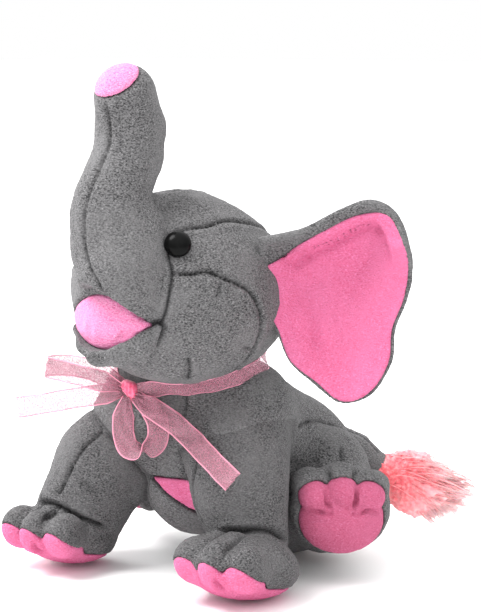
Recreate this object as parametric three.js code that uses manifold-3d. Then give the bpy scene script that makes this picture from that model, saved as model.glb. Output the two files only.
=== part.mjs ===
// A stuffed elephant that sits on its rump and leans on its two splayed front legs, with its
// trunk raised in an S. Millimetres, +Z up. The origin is the middle of the flat rest face under
// the rump, the face looks along -Y and +X is the toy's own left.
//
// Every stuffed form is a cloth shell, open where it is sewn to its neighbour, round a fibrefill
// core. A form is a function of "inset": 0 gives its outer skin, a positive inset its inside,
// and a negative one the room that it needs.
import * as THREE from 'three';
import { ParametricGeometry } from 'three/addons/geometries/ParametricGeometry.js';
import { mergeVertices } from 'three/addons/utils/BufferGeometryUtils.js';
import Module from 'manifold-3d';

const wasm = await Module();
wasm.setup();

// ---- driving dimensions (mm) ----
const CLOTH = 2.2; // pile fabric with its backing
const SEAM_GAP = 0.3; // between pieces that are sewn or pushed together
const SWING_GAP = 0.8; // round a piece that moves
const CORE_INSET = CLOTH + 1.5; // the fill lies just inside the cloth
const CORE_SWING_GAP = 2; // between the fill and a piece that moves past it
const ROOM_SLACK = 1.4; // the room cut for a moving piece is coarser than the piece

const SKIN_DETAIL = 12; // facets round the outside of a stuffed form
const TUBE_DETAIL = 10; // and round the outside of a limb
const CORE_DETAIL = 8; // facets round the inside of the cloth, and round the fill

const SHOULDER_PLANE = 11; // half the width of the chest strip between the front legs
const SHOULDER_PIVOT = { y: -38, z: 82 };
const HIP_PIVOT = { x: 31, y: 2 };
const TAIL_PIVOT = { x: 4, y: 36, z: 58 };
const NECK_PIVOT = { y: -56, z: 110 };
const TRUNK_PIVOT = { y: -96, z: 143 };
const EAR_ROOT = { x: 45.5, y: -48, z: 150 };
const EAR_SWEEP_BACK = THREE.MathUtils.degToRad(25); // from straight out, towards the back

const SWING_FRONT_LEG = [-8, 3]; // degrees about X, forwards negative
const SWING_HIND_LEG = [-4, 10]; // degrees about Z, outwards positive
const SWING_TAIL = [-20, 20]; // degrees about Z
const SWING_HEAD = [-6, 6]; // degrees about X
const HEAD_SWING_ROOM = 3; // how far the head's skin moves at the neck as it nods
const SWING_TRUNK = [-10, 10]; // degrees about X

const EYE_RADIUS = 6;
const EYE_STEM_RADIUS = 1.6;
const EYE_STEM_LENGTH = 9;
const EYE_CENTRE = [31.5, -97, 160]; // on the toy's left; the right one mirrors it
const WASHER_RADIUS = 5;
const WASHER_THICKNESS = 1.4;
const EYE_SEAT = 0.4; // the cap's flat back stands this far out from EYE_CENTRE
const WASHER_BACK = -CLOTH - 3.4; // the washer's inner face, behind the cloth

const EAR_THICKNESS = 3.6;
const EAR_LINING_THICKNESS = 1.8;
const EAR_RIM = 4; // width of grey that shows round the pink lining
const RIBBON_WIDTH = 10;
const RIBBON_THICKNESS = 1.2;

const GREY_PLUSH = { color: 0x858688, roughness: 0.95, metalness: 0 };
const PINK_PLUSH = { color: 0xff7fbf, roughness: 0.9, metalness: 0 };
const CORAL_PILE = { color: 0xf7939a, roughness: 0.9, metalness: 0 };
const FIBREFILL = { color: 0xf4f2ec, roughness: 1, metalness: 0 };
const BLACK_PLASTIC = { color: 0x0b0b0c, roughness: 0.12, metalness: 0 };
const WHITE_PLASTIC = { color: 0xe9e9e6, roughness: 0.5, metalness: 0 };
const ORGANZA = { color: 0xf5a9c8, roughness: 0.4, metalness: 0 };

// ---- solids ----
function toSolid(geometry) {
  const bare = geometry.index ? geometry.clone() : geometry;
  bare.deleteAttribute('normal');
  bare.deleteAttribute('uv');
  const merged = mergeVertices(bare, 1e-4);
  const corners = Array.from(merged.index.array);
  const triangles = [];
  for (let i = 0; i < corners.length; i += 3) {
    const [a, b, c] = corners.slice(i, i + 3);
    if (a !== b && b !== c && c !== a) triangles.push(a, b, c);
  }
  return new wasm.Manifold(new wasm.Mesh({
    numProp: 3,
    vertProperties: new Float32Array(merged.attributes.position.array),
    triVerts: new Uint32Array(triangles),
  }));
}

function toGeometry(solid) {
  const mesh = solid.getMesh();
  const geometry = new THREE.BufferGeometry();
  geometry.setAttribute('position', new THREE.BufferAttribute(mesh.vertProperties, 3));
  geometry.setIndex(new THREE.BufferAttribute(mesh.triVerts, 1));
  return geometry;
}

const joined = (solids) => solids.reduce((all, solid) => all.add(solid));
const less = (solid, cutters) => cutters.reduce((rest, cutter) => rest.subtract(cutter), solid);

function box(min, max) {
  const size = max.map((value, i) => value - min[i]);
  const geometry = new THREE.BoxGeometry(...size);
  geometry.translate(...min.map((value, i) => value + size[i] / 2));
  return toSolid(geometry);
}

// An ellipsoid at a centre, turned about Z by yaw and then tipped about its own X by pitch.
function ellipsoid(centre, radii, inset = 0, { yaw = 0, pitch = 0, detail = SKIN_DETAIL } = {}) {
  const around = inset >= CLOTH ? CORE_DETAIL : detail;
  const geometry = new THREE.SphereGeometry(1, around, Math.round(around * 0.6));
  geometry.rotateX(Math.PI / 2);
  geometry.scale(...radii.map((radius) => radius - inset));
  geometry.rotateX(pitch);
  geometry.rotateZ(yaw);
  geometry.translate(...centre);
  return toSolid(geometry);
}

// A closed loft with flat or rounded ends: place(v) gives each ring's centre and two half-axes.
function loft(sides, rows, place, startAngle = 0) {
  const ring = (u, v, target) => {
    const { centre, across, rise } = place(v);
    const angle = startAngle + 2 * Math.PI * u;
    target.copy(centre).addScaledVector(across, Math.cos(angle)).addScaledVector(rise, Math.sin(angle));
  };
  const solid = toSolid(new ParametricGeometry(ring, sides, rows));
  if (solid.volume() > 0) return solid;
  return loft(sides, rows, (v) => {
    const { centre, across, rise } = place(v);
    return { centre, across, rise: rise.clone().negate() };
  }, startAngle);
}

const CAP_ROWS = 2;

// A stuffed tube with round ends through stations [x, y, z, radius].
function softTube(stations, inset = 0, { sides = TUBE_DETAIL, rows = 12 } = {}) {
  const path = new THREE.CatmullRomCurve3(stations.map(([x, y, z]) => new THREE.Vector3(x, y, z)));
  const girth = new THREE.CatmullRomCurve3(stations.map(([, , , r]) => new THREE.Vector3(r, 0, 0)));
  const capShare = CAP_ROWS / rows;
  const aside = new THREE.Vector3(1, 0, 0);
  return loft(inset >= CLOTH ? CORE_DETAIL : sides, rows, (v) => {
    const fromEnd = Math.min(v, 1 - v);
    const swing = Math.min(fromEnd / capShare, 1) * (Math.PI / 2);
    const t = THREE.MathUtils.clamp((v - capShare) / (1 - 2 * capShare), 0, 1);
    const radius = girth.getPoint(t).x - inset;
    const tangent = path.getTangent(t);
    const rise = new THREE.Vector3().crossVectors(tangent, aside).normalize();
    const across = new THREE.Vector3().crossVectors(rise, tangent).normalize();
    const reach = Math.sign(v - 0.5) * Math.cos(swing) * radius;
    return {
      centre: path.getPoint(t).addScaledVector(tangent, reach),
      across: across.multiplyScalar(radius * Math.sin(swing)),
      rise: rise.multiplyScalar(radius * Math.sin(swing)),
    };
  });
}

// A flat ribbon along points; widthwise is roughly the direction across it.
function ribbonStrip(points, widthwise, rows) {
  const path = new THREE.CatmullRomCurve3(points.map((point) => new THREE.Vector3(...point)));
  const corner = Math.SQRT1_2;
  return loft(4, rows + 2, (v) => {
    const t = THREE.MathUtils.clamp((v * (rows + 2) - 1) / rows, 0, 1);
    const closed = v > 0 && v < 1 ? 1 : 0;
    const tangent = path.getTangent(t);
    const across = widthwise.clone().addScaledVector(tangent, -widthwise.dot(tangent)).normalize();
    const face = new THREE.Vector3().crossVectors(tangent, across);
    return {
      centre: path.getPoint(t),
      across: across.multiplyScalar(closed * corner * RIBBON_WIDTH),
      rise: face.multiplyScalar(closed * corner * RIBBON_THICKNESS),
    };
  }, Math.PI / 4);
}

// The solid turned about an axis through a pivot.
function turned(solid, pivot, axis, degrees) {
  const geometry = toGeometry(solid);
  geometry.translate(-pivot.x, -pivot.y, -pivot.z);
  geometry.applyMatrix4(new THREE.Matrix4().makeRotationAxis(axis, THREE.MathUtils.degToRad(degrees)));
  geometry.translate(pivot.x, pivot.y, pivot.z);
  return toSolid(geometry);
}

const AXIS_X = new THREE.Vector3(1, 0, 0);
const AXIS_Z = new THREE.Vector3(0, 0, 1);

// The room that a moving form takes at both limits of its small swing; ROOM_SLACK covers the rest.
function swept(solid, pivot, axis, [least, most]) {
  const centre = new THREE.Vector3(pivot.x ?? 0, pivot.y, pivot.z ?? 0);
  return turned(solid, centre, axis, least).add(turned(solid, centre, axis, most));
}

// ---- forms ----
function aboveFloor(inset) {
  return box([-150, -160, inset], [150, 150, 260]);
}

function torsoForm(inset) {
  const rump = ellipsoid([0, 0, 38.5], [44, 41, 41], inset);
  const waist = ellipsoid([0, -18, 62], [40, 34, 38], inset);
  const chest = ellipsoid([0, -32, 84], [37, 29, 28], inset);
  return joined([rump, waist, chest]).intersect(aboveFloor(Math.max(inset, 0)));
}

const FRONT_LEGS = {
  left: {
    side: 1,
    stations: [[20, -37, 78, 21.5], [34, -53, 50, 22], [41, -62, 25, 19]],
    paw: { x: 43, y: -69, yaw: 0.5 },
  },
  right: {
    side: -1,
    stations: [[-22, -41, 78, 20.5], [-38, -61, 50, 21], [-49, -73, 24, 18]],
    paw: { x: -53, y: -82, yaw: 0 },
  },
};
const PAW_RADII = [24, 25, 14.5];
const PAW_TILT = THREE.MathUtils.degToRad(-10); // toes up
const TOE_RADII = [8.5, 10, 10.5];
const TOE_PITCH = 15; // between the middles of two toes

function pawForm({ x, y, yaw }, inset) {
  const centre = new THREE.Vector3(x, y, PAW_RADII[2]);
  const parts = [ellipsoid(centre.toArray(), PAW_RADII, inset, { yaw, pitch: PAW_TILT, detail: 10 })];
  const toes = inset >= CLOTH ? [] : [-1, 0, 1]; // the toes are stitched off and have no hollow
  for (const place of toes) {
    const toe = new THREE.Vector3(place * TOE_PITCH, -18 + 3 * Math.abs(place), 0);
    toe.applyAxisAngle(AXIS_X, PAW_TILT).applyAxisAngle(AXIS_Z, yaw).add(centre);
    parts.push(ellipsoid(toe.toArray(), TOE_RADII, inset, { yaw, pitch: PAW_TILT, detail: 9 }));
  }
  return joined(parts);
}

// planeInset moves only the flat face at the shoulder.
function frontLegForm({ side, stations, paw }, inset, planeInset = inset) {
  const whole = softTube(stations, inset, { rows: 9 }).add(pawForm(paw, inset));
  const inner = side * (SHOULDER_PLANE + planeInset);
  const outer = side * 140;
  const room = box(
    [Math.min(inner, outer), -160, Math.max(inset, 0)],
    [Math.max(inner, outer), 150, 260],
  );
  return whole.intersect(room);
}

const FOOT_TURN = THREE.MathUtils.degToRad(45); // each hind foot points out this far from ahead
const FOOT_CENTRE = { x: 60, y: -20, z: 34 };
const FOOT_RADII = [21.5, 8, 20.5];

const THIGH = { z: 33, radius: 22, height: 33.5 };
const thighForm = (side, inset) => ellipsoid(
  [side * HIP_PIVOT.x, HIP_PIVOT.y, THIGH.z], [THIGH.radius, THIGH.radius, THIGH.height], inset,
);
const shankStations = (side) => [
  [side * 36, -3, 32, 20],
  [side * 47, -11, 33, 19],
  [side * 56, -17, 34, 18],
];

function hindLegForm(side, inset) {
  const shank = softTube(shankStations(side), inset, { rows: 8 });
  const foot = ellipsoid(
    [side * FOOT_CENTRE.x, FOOT_CENTRE.y, FOOT_CENTRE.z], FOOT_RADII, inset, { yaw: side * FOOT_TURN },
  );
  return joined([thighForm(side, inset), shank, foot]).intersect(aboveFloor(Math.max(inset, 0)));
}

const TAIL_STATIONS = [
  [TAIL_PIVOT.x, TAIL_PIVOT.y, TAIL_PIVOT.z, 8],
  [15, 47, 49, 6.8],
  [25, 57, 38, 5.8],
];
const tailForm = (inset) => softTube(TAIL_STATIONS, inset, { sides: 8, rows: 7 });

const SKULL = { centre: [0, -66, 137], radii: [47, 49, 45], detail: 16 };

function headForm(inset) {
  const skull = ellipsoid(SKULL.centre, SKULL.radii, inset, { detail: SKULL.detail });
  const muzzle = ellipsoid([0, -90, 119], [27, 25, 22], inset);
  return skull.add(muzzle);
}

const TRUNK_STATIONS = [
  [0, TRUNK_PIVOT.y, TRUNK_PIVOT.z, 21],
  [0, -103, 160, 19.2],
  [0, -108, 172, 17.5],
  [0, -105, 184, 16],
  [0, -98.5, 197, 15.5],
  [0, -96.5, 210, 15.5],
  [0, -98, 225, 14.5],
];
const trunkForm = (inset) => softTube(TRUNK_STATIONS, inset, { rows: 14 });

// ---- the room that moving bodies need, made coarse and a little wide ----
const ROOM_TUBE = { sides: 9, rows: 7 };
const onSide = (side, [least, most]) => (side > 0 ? [least, most] : [-most, -least]);
const roomTube = (stations, extra) => softTube(stations, -extra - ROOM_SLACK, ROOM_TUBE);

function frontLegRoom({ side, stations }, extra) {
  const limb = swept(roomTube(stations, extra), SHOULDER_PIVOT, AXIS_X, SWING_FRONT_LEG);
  const inner = side * (SHOULDER_PLANE - extra);
  return limb.intersect(box(
    [Math.min(inner, side * 140), -160, -10],
    [Math.max(inner, side * 140), 150, 260],
  ));
}

function hindLegRoom(side, extra) {
  const pivot = { x: side * HIP_PIVOT.x, y: HIP_PIVOT.y };
  const shank = roomTube(shankStations(side), extra);
  return thighForm(side, -extra).add(swept(shank, pivot, AXIS_Z, onSide(side, SWING_HIND_LEG)));
}

const tailRoom = (extra) => swept(roomTube(TAIL_STATIONS, extra), TAIL_PIVOT, AXIS_Z, SWING_TAIL);
const headRoom = (extra) => headForm(-extra - HEAD_SWING_ROOM);
const trunkRoom = (extra) => swept(
  roomTube(TRUNK_STATIONS, extra), TRUNK_PIVOT, AXIS_X, SWING_TRUNK,
);
const roomsInTorso = (extra) => [
  headRoom(extra),
  frontLegRoom(FRONT_LEGS.left, extra),
  frontLegRoom(FRONT_LEGS.right, extra),
  hindLegRoom(1, extra),
  hindLegRoom(-1, extra),
  tailRoom(extra),
];

// ---- assembly helpers ----
const elephant = new THREE.Group();
elephant.name = 'stuffed_elephant';

function bodyGroup(parent, origin) {
  const group = new THREE.Group();
  group.userData.origin = new THREE.Vector3(origin.x ?? 0, origin.y, origin.z ?? 0);
  const parentOrigin = parent.userData.origin ?? new THREE.Vector3();
  group.position.copy(group.userData.origin).sub(parentOrigin);
  parent.add(group);
  return group;
}

// Cutting a thin shell can leave a crumb at an edge, which a cutter would trim off.
function withoutOffcuts(solid) {
  return solid.decompose().reduce((main, part) => (part.volume() > main.volume() ? part : main));
}

function addPiece(group, name, solid, finish) {
  const geometry = toGeometry(withoutOffcuts(solid));
  const { x, y, z } = group.userData.origin;
  geometry.translate(-x, -y, -z);
  geometry.computeVertexNormals();
  const mesh = new THREE.Mesh(geometry, new THREE.MeshStandardMaterial(finish));
  mesh.name = name;
  group.add(mesh);
}

// A thin panel let into a shell: the part of the shell inside the region.
const panelOf = (shell, region) => shell.intersect(region(SEAM_GAP / 2));
const withoutPanel = (shell, region) => shell.subtract(region(-SEAM_GAP / 2));

// ---- torso ----
const torso = bodyGroup(elephant, { y: 0 });
const bellyRegion = (inset) => ellipsoid([0, -58, 34], [9.5, 34, 26], inset, { detail: 10 });

function addTorso() {
  const shell = less(torsoForm(0).subtract(torsoForm(CLOTH)), roomsInTorso(SWING_GAP));
  addPiece(torso, 'torso_shell', withoutPanel(shell, bellyRegion), GREY_PLUSH);
  addPiece(torso, 'belly_panel', panelOf(shell, bellyRegion), PINK_PLUSH);
  const core = less(torsoForm(CORE_INSET), roomsInTorso(CORE_SWING_GAP));
  addPiece(torso, 'torso_stuffing', core, FIBREFILL);
}

// ---- head ----
const head = bodyGroup(torso, NECK_PIVOT);
const MOUTH = { centre: [0, -117, 123], radii: [21, 15, 9.5] };
const EYE_DOME_HEIGHT = 4.2;
const SIDES = [['left', 1], ['right', -1]];

const mouthForm = (inset) => ellipsoid(MOUTH.centre, MOUTH.radii, inset, { detail: 10 });
const cheekRegion = (side) => (inset) => ellipsoid(
  [side * 40, -88, 118], [30, 28, 26], inset, { detail: 10 },
);
const chinRegion = (inset) => ellipsoid([0, -104, 104], [20, 22, 13], inset, { detail: 10 });

// A turned piece whose axis is Y, set at an eye so that +Y points straight out of the skull.
function atEye(side, profile) {
  const geometry = new THREE.LatheGeometry(profile.map(([r, y]) => new THREE.Vector2(r, y)), 14);
  const [x, y, z] = EYE_CENTRE;
  const [, middle, height] = SKULL.centre;
  const [rx, ry, rz] = SKULL.radii;
  const outwards = new THREE.Vector3(side * x / rx ** 2, (y - middle) / ry ** 2, (z - height) / rz ** 2);
  const turn = new THREE.Quaternion().setFromUnitVectors(new THREE.Vector3(0, 1, 0), outwards.normalize());
  geometry.applyQuaternion(turn);
  geometry.translate(side * x, y, z);
  return toSolid(geometry);
}

const discAtEye = (side, radius, from, to) => atEye(side, [[0, from], [radius, from], [radius, to], [0, to]]);

// The safety eye: a domed cap in front of the cloth and a stem through it.
function eyeSolid(side) {
  const dome = [];
  for (let step = 0; step <= 5; step += 1) {
    const angle = (step / 5) * (Math.PI / 2);
    dome.push([EYE_RADIUS * Math.cos(angle), EYE_SEAT + EYE_DOME_HEIGHT * Math.sin(angle)]);
  }
  return atEye(side, [
    [0, EYE_SEAT - EYE_STEM_LENGTH],
    [EYE_STEM_RADIUS, EYE_SEAT - EYE_STEM_LENGTH],
    [EYE_STEM_RADIUS, EYE_SEAT],
    ...dome,
  ]);
}

function addHead() {
  const moving = [trunkRoom(SWING_GAP)];
  const pits = SIDES.map(([, side]) => discAtEye(side, EYE_RADIUS + SEAM_GAP, EYE_SEAT - SEAM_GAP, 12));
  const stems = SIDES.map(([, side]) => discAtEye(
    side, EYE_STEM_RADIUS + SEAM_GAP, EYE_SEAT - EYE_STEM_LENGTH - SEAM_GAP, EYE_SEAT,
  ));
  const washerPits = SIDES.map(([, side]) => discAtEye(
    side, WASHER_RADIUS + SEAM_GAP, WASHER_BACK - SEAM_GAP, WASHER_BACK + WASHER_THICKNESS + SEAM_GAP,
  ));
  const regions = [cheekRegion(1), cheekRegion(-1), chinRegion];
  const shell = less(
    headForm(0).subtract(headForm(CLOTH)), [...moving, ...pits, ...stems, ...washerPits, mouthForm(0)],
  );
  addPiece(head, 'head_shell', regions.reduce(withoutPanel, shell), GREY_PLUSH);
  for (const [label, side] of SIDES) {
    const cheek = panelOf(shell, cheekRegion(side)).subtract(chinRegion(-SEAM_GAP / 2));
    addPiece(head, `cheek_panel_${label}`, cheek, GREY_PLUSH);
  }
  addPiece(head, 'chin_panel', panelOf(shell, chinRegion), GREY_PLUSH);
  const lining = mouthForm(SEAM_GAP).subtract(mouthForm(SEAM_GAP + CLOTH));
  const inMouth = headForm(CLOTH).subtract(trunkRoom(SWING_GAP));
  addPiece(head, 'mouth_lining', lining.intersect(inMouth), PINK_PLUSH);
  for (const [label, side] of SIDES) {
    addPiece(head, `eye_${label}`, eyeSolid(side), BLACK_PLASTIC);
    addPiece(head, `eye_washer_${label}`, washerSolid(side), WHITE_PLASTIC);
  }
  const core = less(
    headForm(CORE_INSET), [trunkRoom(CORE_SWING_GAP), mouthForm(-SEAM_GAP), ...stems, ...washerPits],
  );
  addPiece(head, 'head_stuffing', core, FIBREFILL);
}

// The toothed washer that locks an eye's stem behind the cloth.
function washerSolid(side) {
  const inner = EYE_STEM_RADIUS + SEAM_GAP;
  const front = WASHER_BACK + WASHER_THICKNESS;
  return atEye(side, [
    [inner, WASHER_BACK], [WASHER_RADIUS, WASHER_BACK], [WASHER_RADIUS, front], [inner, front],
    [inner, WASHER_BACK],
  ]);
}

// ---- trunk ----
const trunk = bodyGroup(head, TRUNK_PIVOT);
const TRUNK_MOUTH = { centre: [0, TRUNK_PIVOT.y + 6, TRUNK_PIVOT.z - 20], radii: [11, 11, 9] };
const onOwnSide = (side) => box(
  [side > 0 ? SEAM_GAP / 2 : -60, -150, 90], [side > 0 ? 60 : -SEAM_GAP / 2, -60, 260],
);
const tipRegion = (inset) => ellipsoid([0, -112, 241], [18, 14, 18], inset, { detail: 10 });

function addTrunk() {
  const opening = ellipsoid(TRUNK_MOUTH.centre, TRUNK_MOUTH.radii);
  const shell = trunkForm(0).subtract(trunkForm(CLOTH)).subtract(opening);
  for (const [label, side] of SIDES) {
    const half = shell.intersect(onOwnSide(side));
    addPiece(trunk, `trunk_panel_${label}`, withoutPanel(half, tipRegion), GREY_PLUSH);
  }
  addPiece(trunk, 'trunk_tip_patch', panelOf(shell, tipRegion), PINK_PLUSH);
  addPiece(trunk, 'trunk_stuffing', trunkForm(CORE_INSET), FIBREFILL);
}

// ---- ears ----
// The outline in the ear's own plane: outwards from the root line, and up.
const EAR_OUTLINE = [
  [0, 12], [11, 16], [21, 20], [32, 26], [45, 30], [57, 23.5], [63, 6], [60, -13], [54.5, -28],
  [53, -43], [44.5, -57.5], [31, -62], [18, -54], [5.5, -41], [3, -24], [0, -12],
];

function earPlate(outline, front, back) {
  const points = outline.map(([outwards, up]) => new THREE.Vector3(outwards, up, 0));
  const rim = new THREE.CatmullRomCurve3(points, true).getPoints(44);
  const shape = new THREE.Shape(rim.slice(0, -1).map((point) => new THREE.Vector2(point.x, point.y)));
  const plate = new THREE.ExtrudeGeometry(shape, { depth: back - front, bevelEnabled: false });
  plate.translate(0, 0, -back);
  return plate;
}

// The outline drawn in by a margin, towards its own middle.
function drawnIn(outline, margin) {
  const middle = [30, -16];
  return outline.map((point) => {
    const away = new THREE.Vector2(point[0] - middle[0], point[1] - middle[1]);
    away.setLength(away.length() - margin);
    return [middle[0] + away.x, middle[1] + away.y];
  });
}

function placeEar(plate, side) {
  plate.rotateX(Math.PI / 2);
  plate.rotateZ(EAR_SWEEP_BACK);
  plate.translate(EAR_ROOT.x, EAR_ROOT.y, EAR_ROOT.z);
  const solid = toSolid(plate);
  return side > 0 ? solid : mirrored(solid);
}

// The same solid on the toy's other side.
function mirrored(solid) {
  const geometry = toGeometry(solid);
  geometry.scale(-1, 1, 1);
  const corners = geometry.index.array;
  for (let i = 0; i < corners.length; i += 3) {
    [corners[i + 1], corners[i + 2]] = [corners[i + 2], corners[i + 1]];
  }
  return toSolid(geometry);
}

function addEar(label, side) {
  const ear = bodyGroup(head, { ...EAR_ROOT, x: side * EAR_ROOT.x });
  const liningOutline = drawnIn(EAR_OUTLINE, EAR_RIM);
  const back = placeEar(earPlate(EAR_OUTLINE, 0, EAR_THICKNESS), side);
  const linedAt = -SEAM_GAP - EAR_LINING_THICKNESS;
  const lining = placeEar(earPlate(liningOutline, linedAt, -SEAM_GAP), side);
  addPiece(ear, `ear_back_${label}`, back, GREY_PLUSH);
  addPiece(ear, `ear_lining_${label}`, lining, PINK_PLUSH);
}

// ---- legs ----
const LEG_SWING_ROOM = 2.5; // clear of the head while both move
const SOLE_RADII = [18, 22, 7];

function addFrontLeg(label, leg) {
  const group = bodyGroup(torso, { ...SHOULDER_PIVOT, x: leg.side * SHOULDER_PLANE });
  const soleRegion = (inset) => ellipsoid(
    [leg.paw.x, leg.paw.y, 0], SOLE_RADII, inset, { yaw: leg.paw.yaw, pitch: PAW_TILT, detail: 10 },
  );
  const underHead = headRoom(LEG_SWING_ROOM);
  const shell = less(frontLegForm(leg, 0), [frontLegForm(leg, CLOTH, -2), underHead]);
  const core = frontLegForm(leg, CORE_INSET, 0).subtract(underHead);
  addPiece(group, `front_leg_shell_${label}`, shell.subtract(soleRegion(-SEAM_GAP / 2)), GREY_PLUSH);
  addPiece(group, `front_sole_${label}`, panelOf(shell, soleRegion), PINK_PLUSH);
  addPiece(group, `front_leg_stuffing_${label}`, core, FIBREFILL);
}

const hindSoleRegion = (side) => (inset) => ellipsoid(
  [side * (FOOT_CENTRE.x + 6), FOOT_CENTRE.y - 6, FOOT_CENTRE.z - 1], [16.5, 8, 16.5], inset,
  { yaw: side * FOOT_TURN, detail: 14 },
);

function addHindLeg(label, side) {
  const group = bodyGroup(torso, { ...HIP_PIVOT, x: side * HIP_PIVOT.x });
  const opening = ellipsoid([side * 10, HIP_PIVOT.y, 33], [8, 12, 14], 0, { detail: 10 });
  const shell = hindLegForm(side, 0).subtract(hindLegForm(side, CLOTH)).subtract(opening);
  const region = hindSoleRegion(side);
  addPiece(group, `hind_leg_shell_${label}`, withoutPanel(shell, region), GREY_PLUSH);
  addPiece(group, `hind_sole_${label}`, panelOf(shell, region), PINK_PLUSH);
  addPiece(group, `hind_leg_stuffing_${label}`, hindLegForm(side, CORE_INSET), FIBREFILL);
}

// ---- tail ----
const TUFT_STATIONS = [[29, 62, 29, 6], [34, 70, 19, 10.5], [40, 78, 12.5, 10], [47, 84, 9, 5]];

function addTail() {
  const tail = bodyGroup(torso, TAIL_PIVOT);
  const opening = ellipsoid([TAIL_PIVOT.x - 3, TAIL_PIVOT.y - 6, TAIL_PIVOT.z + 3], [5, 5, 5], 0);
  const tuft = softTube(TUFT_STATIONS).intersect(aboveFloor(0));
  const shell = tailForm(0).subtract(tailForm(CLOTH)).subtract(opening);
  addPiece(tail, 'tail_shell', shell, GREY_PLUSH);
  addPiece(tail, 'tail_stuffing', tailForm(CORE_INSET), FIBREFILL);
  addPiece(tail, 'tail_tuft', tuft.subtract(tailForm(-SEAM_GAP)), CORAL_PILE);
}

// ---- ribbon ----
const KNOT = { centre: [-17, -77, 89], radii: [5.5, 5, 5] };
const UPRIGHT = new THREE.Vector3(0, 0, 1);
const RIBBON_RUNS = {
  collar: {
    across: UPRIGHT,
    steps: 30,
    points: [
      [-9, -73, 88.5], [5, -70, 87], [22, -64, 88], [36, -52, 91], [40, -37, 97], [33, -20, 102],
      [17, -11, 105], [-1, -8, 106], [-20, -12, 105], [-34, -24, 101], [-40, -42, 95],
      [-36, -60, 89], [-27, -70, 88],
    ],
  },
  loop_right: {
    across: UPRIGHT,
    steps: 16,
    points: [
      [-21, -84, 91], [-27, -92.5, 97], [-36, -100.5, 100], [-44, -102.5, 101],
      [-42.5, -94, 101], [-33, -86, 99], [-23.5, -80, 94],
    ],
  },
  loop_left: {
    across: new THREE.Vector3(0.74, 0.67, 0),
    steps: 16,
    points: [
      [-13, -81, 82], [-11.5, -81.5, 74], [-11.5, -81.5, 66], [-14, -78.5, 61],
      [-16.5, -76, 66], [-16.5, -76, 74], [-17.5, -76.5, 82],
    ],
  },
  tail_right: {
    across: UPRIGHT,
    steps: 8,
    points: [[-24, -83, 83], [-35, -93, 83], [-47, -105, 82], [-58, -116, 81]],
  },
  tail_left: {
    across: new THREE.Vector3(-0.44, -0.39, -0.8),
    steps: 8,
    points: [[-8, -82, 87], [4, -80, 79], [18, -80, 71], [33, -86, 63], [43, -92, 57]],
  },
};

function addRibbon() {
  const knot = (growth) => ellipsoid(KNOT.centre, KNOT.radii, -growth, { detail: 10 });
  const legRooms = Object.values(FRONT_LEGS).map((leg) => frontLegRoom(leg, SEAM_GAP));
  const clear = [headRoom(SWING_GAP), knot(SEAM_GAP), ...legRooms];
  addPiece(torso, 'ribbon_knot', knot(0), ORGANZA);
  for (const [label, { points, across, steps }] of Object.entries(RIBBON_RUNS)) {
    addPiece(torso, `ribbon_${label}`, less(ribbonStrip(points, across, steps), clear), ORGANZA);
  }
}

addTorso();
addHead();
addTrunk();
for (const [label, side] of SIDES) {
  addEar(label, side);
  addFrontLeg(label, FRONT_LEGS[label]);
  addHindLeg(label, side);
}
addTail();
addRibbon();

export default elephant;
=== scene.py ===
"""The looks of a stuffed elephant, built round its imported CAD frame.

Lengths are millimetres until a mesh is made, in the frame's axes: the origin is under the rump,
the face looks along -Y and +X is the toy's own left. A stuffed form is a signed distance: a
function of points that is negative inside the form. A skin is the net of quads round a form, and
seams, folds and lumps then press its points in or out along the surface's normals. Where a form
runs past the box that its skin is sampled in, the skin ends there in an open edge.
"""
import math

import bpy
import numpy as np
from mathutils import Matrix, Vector


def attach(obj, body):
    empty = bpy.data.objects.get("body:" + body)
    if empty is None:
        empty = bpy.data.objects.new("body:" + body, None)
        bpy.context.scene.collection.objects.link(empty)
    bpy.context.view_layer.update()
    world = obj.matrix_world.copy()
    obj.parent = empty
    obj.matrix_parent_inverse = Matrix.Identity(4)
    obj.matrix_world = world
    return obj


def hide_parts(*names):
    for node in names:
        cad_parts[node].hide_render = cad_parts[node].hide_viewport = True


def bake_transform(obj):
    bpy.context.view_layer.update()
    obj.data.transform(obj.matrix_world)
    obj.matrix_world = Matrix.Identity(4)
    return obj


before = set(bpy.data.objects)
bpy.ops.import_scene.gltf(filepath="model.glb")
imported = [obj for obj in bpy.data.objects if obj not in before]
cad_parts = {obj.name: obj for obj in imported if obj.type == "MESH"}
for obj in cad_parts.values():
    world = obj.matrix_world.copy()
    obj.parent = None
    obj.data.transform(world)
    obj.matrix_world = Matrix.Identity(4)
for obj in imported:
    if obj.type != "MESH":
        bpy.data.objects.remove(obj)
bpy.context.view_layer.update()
MM = 0.001
COARSE = 1.0  # quick tries use a coarser net

# ---- signed distances ----
def ellipsoid(centre, radii, turn=None):
    centre, radii = np.float32(centre), np.float32(radii)

    def field(p):
        q = p - centre if turn is None else (p - centre) @ turn
        k0 = np.maximum(np.linalg.norm(q / radii, axis=-1), 1e-4)
        k1 = np.maximum(np.linalg.norm(q / radii**2, axis=-1), 1e-6)
        return k0 * (k0 - 1) / k1

    return field


def cone(a, b):
    """A tapered limb with round ends between two stations (x, y, z, radius)."""
    start, end = np.float32(a[:3]), np.float32(b[:3])
    length = np.linalg.norm(end - start)
    along = (end - start) / length
    taper = b[3] - a[3]
    lean = taper / math.sqrt(max(length**2 - taper**2, 1e-6))

    def field(p):
        q = p - start
        run = q @ along
        off = np.linalg.norm(q - run[..., None] * along, axis=-1)
        share = np.clip((run + off * lean) / length, 0, 1)
        return np.hypot(off, run - share * length) - (a[3] + taper * share)

    return field


def smooth_min(a, b, k):
    h = np.clip(0.5 + 0.5 * (b - a) / k, 0, 1)
    return b + (a - b) * h - k * h * (1 - h)


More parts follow.
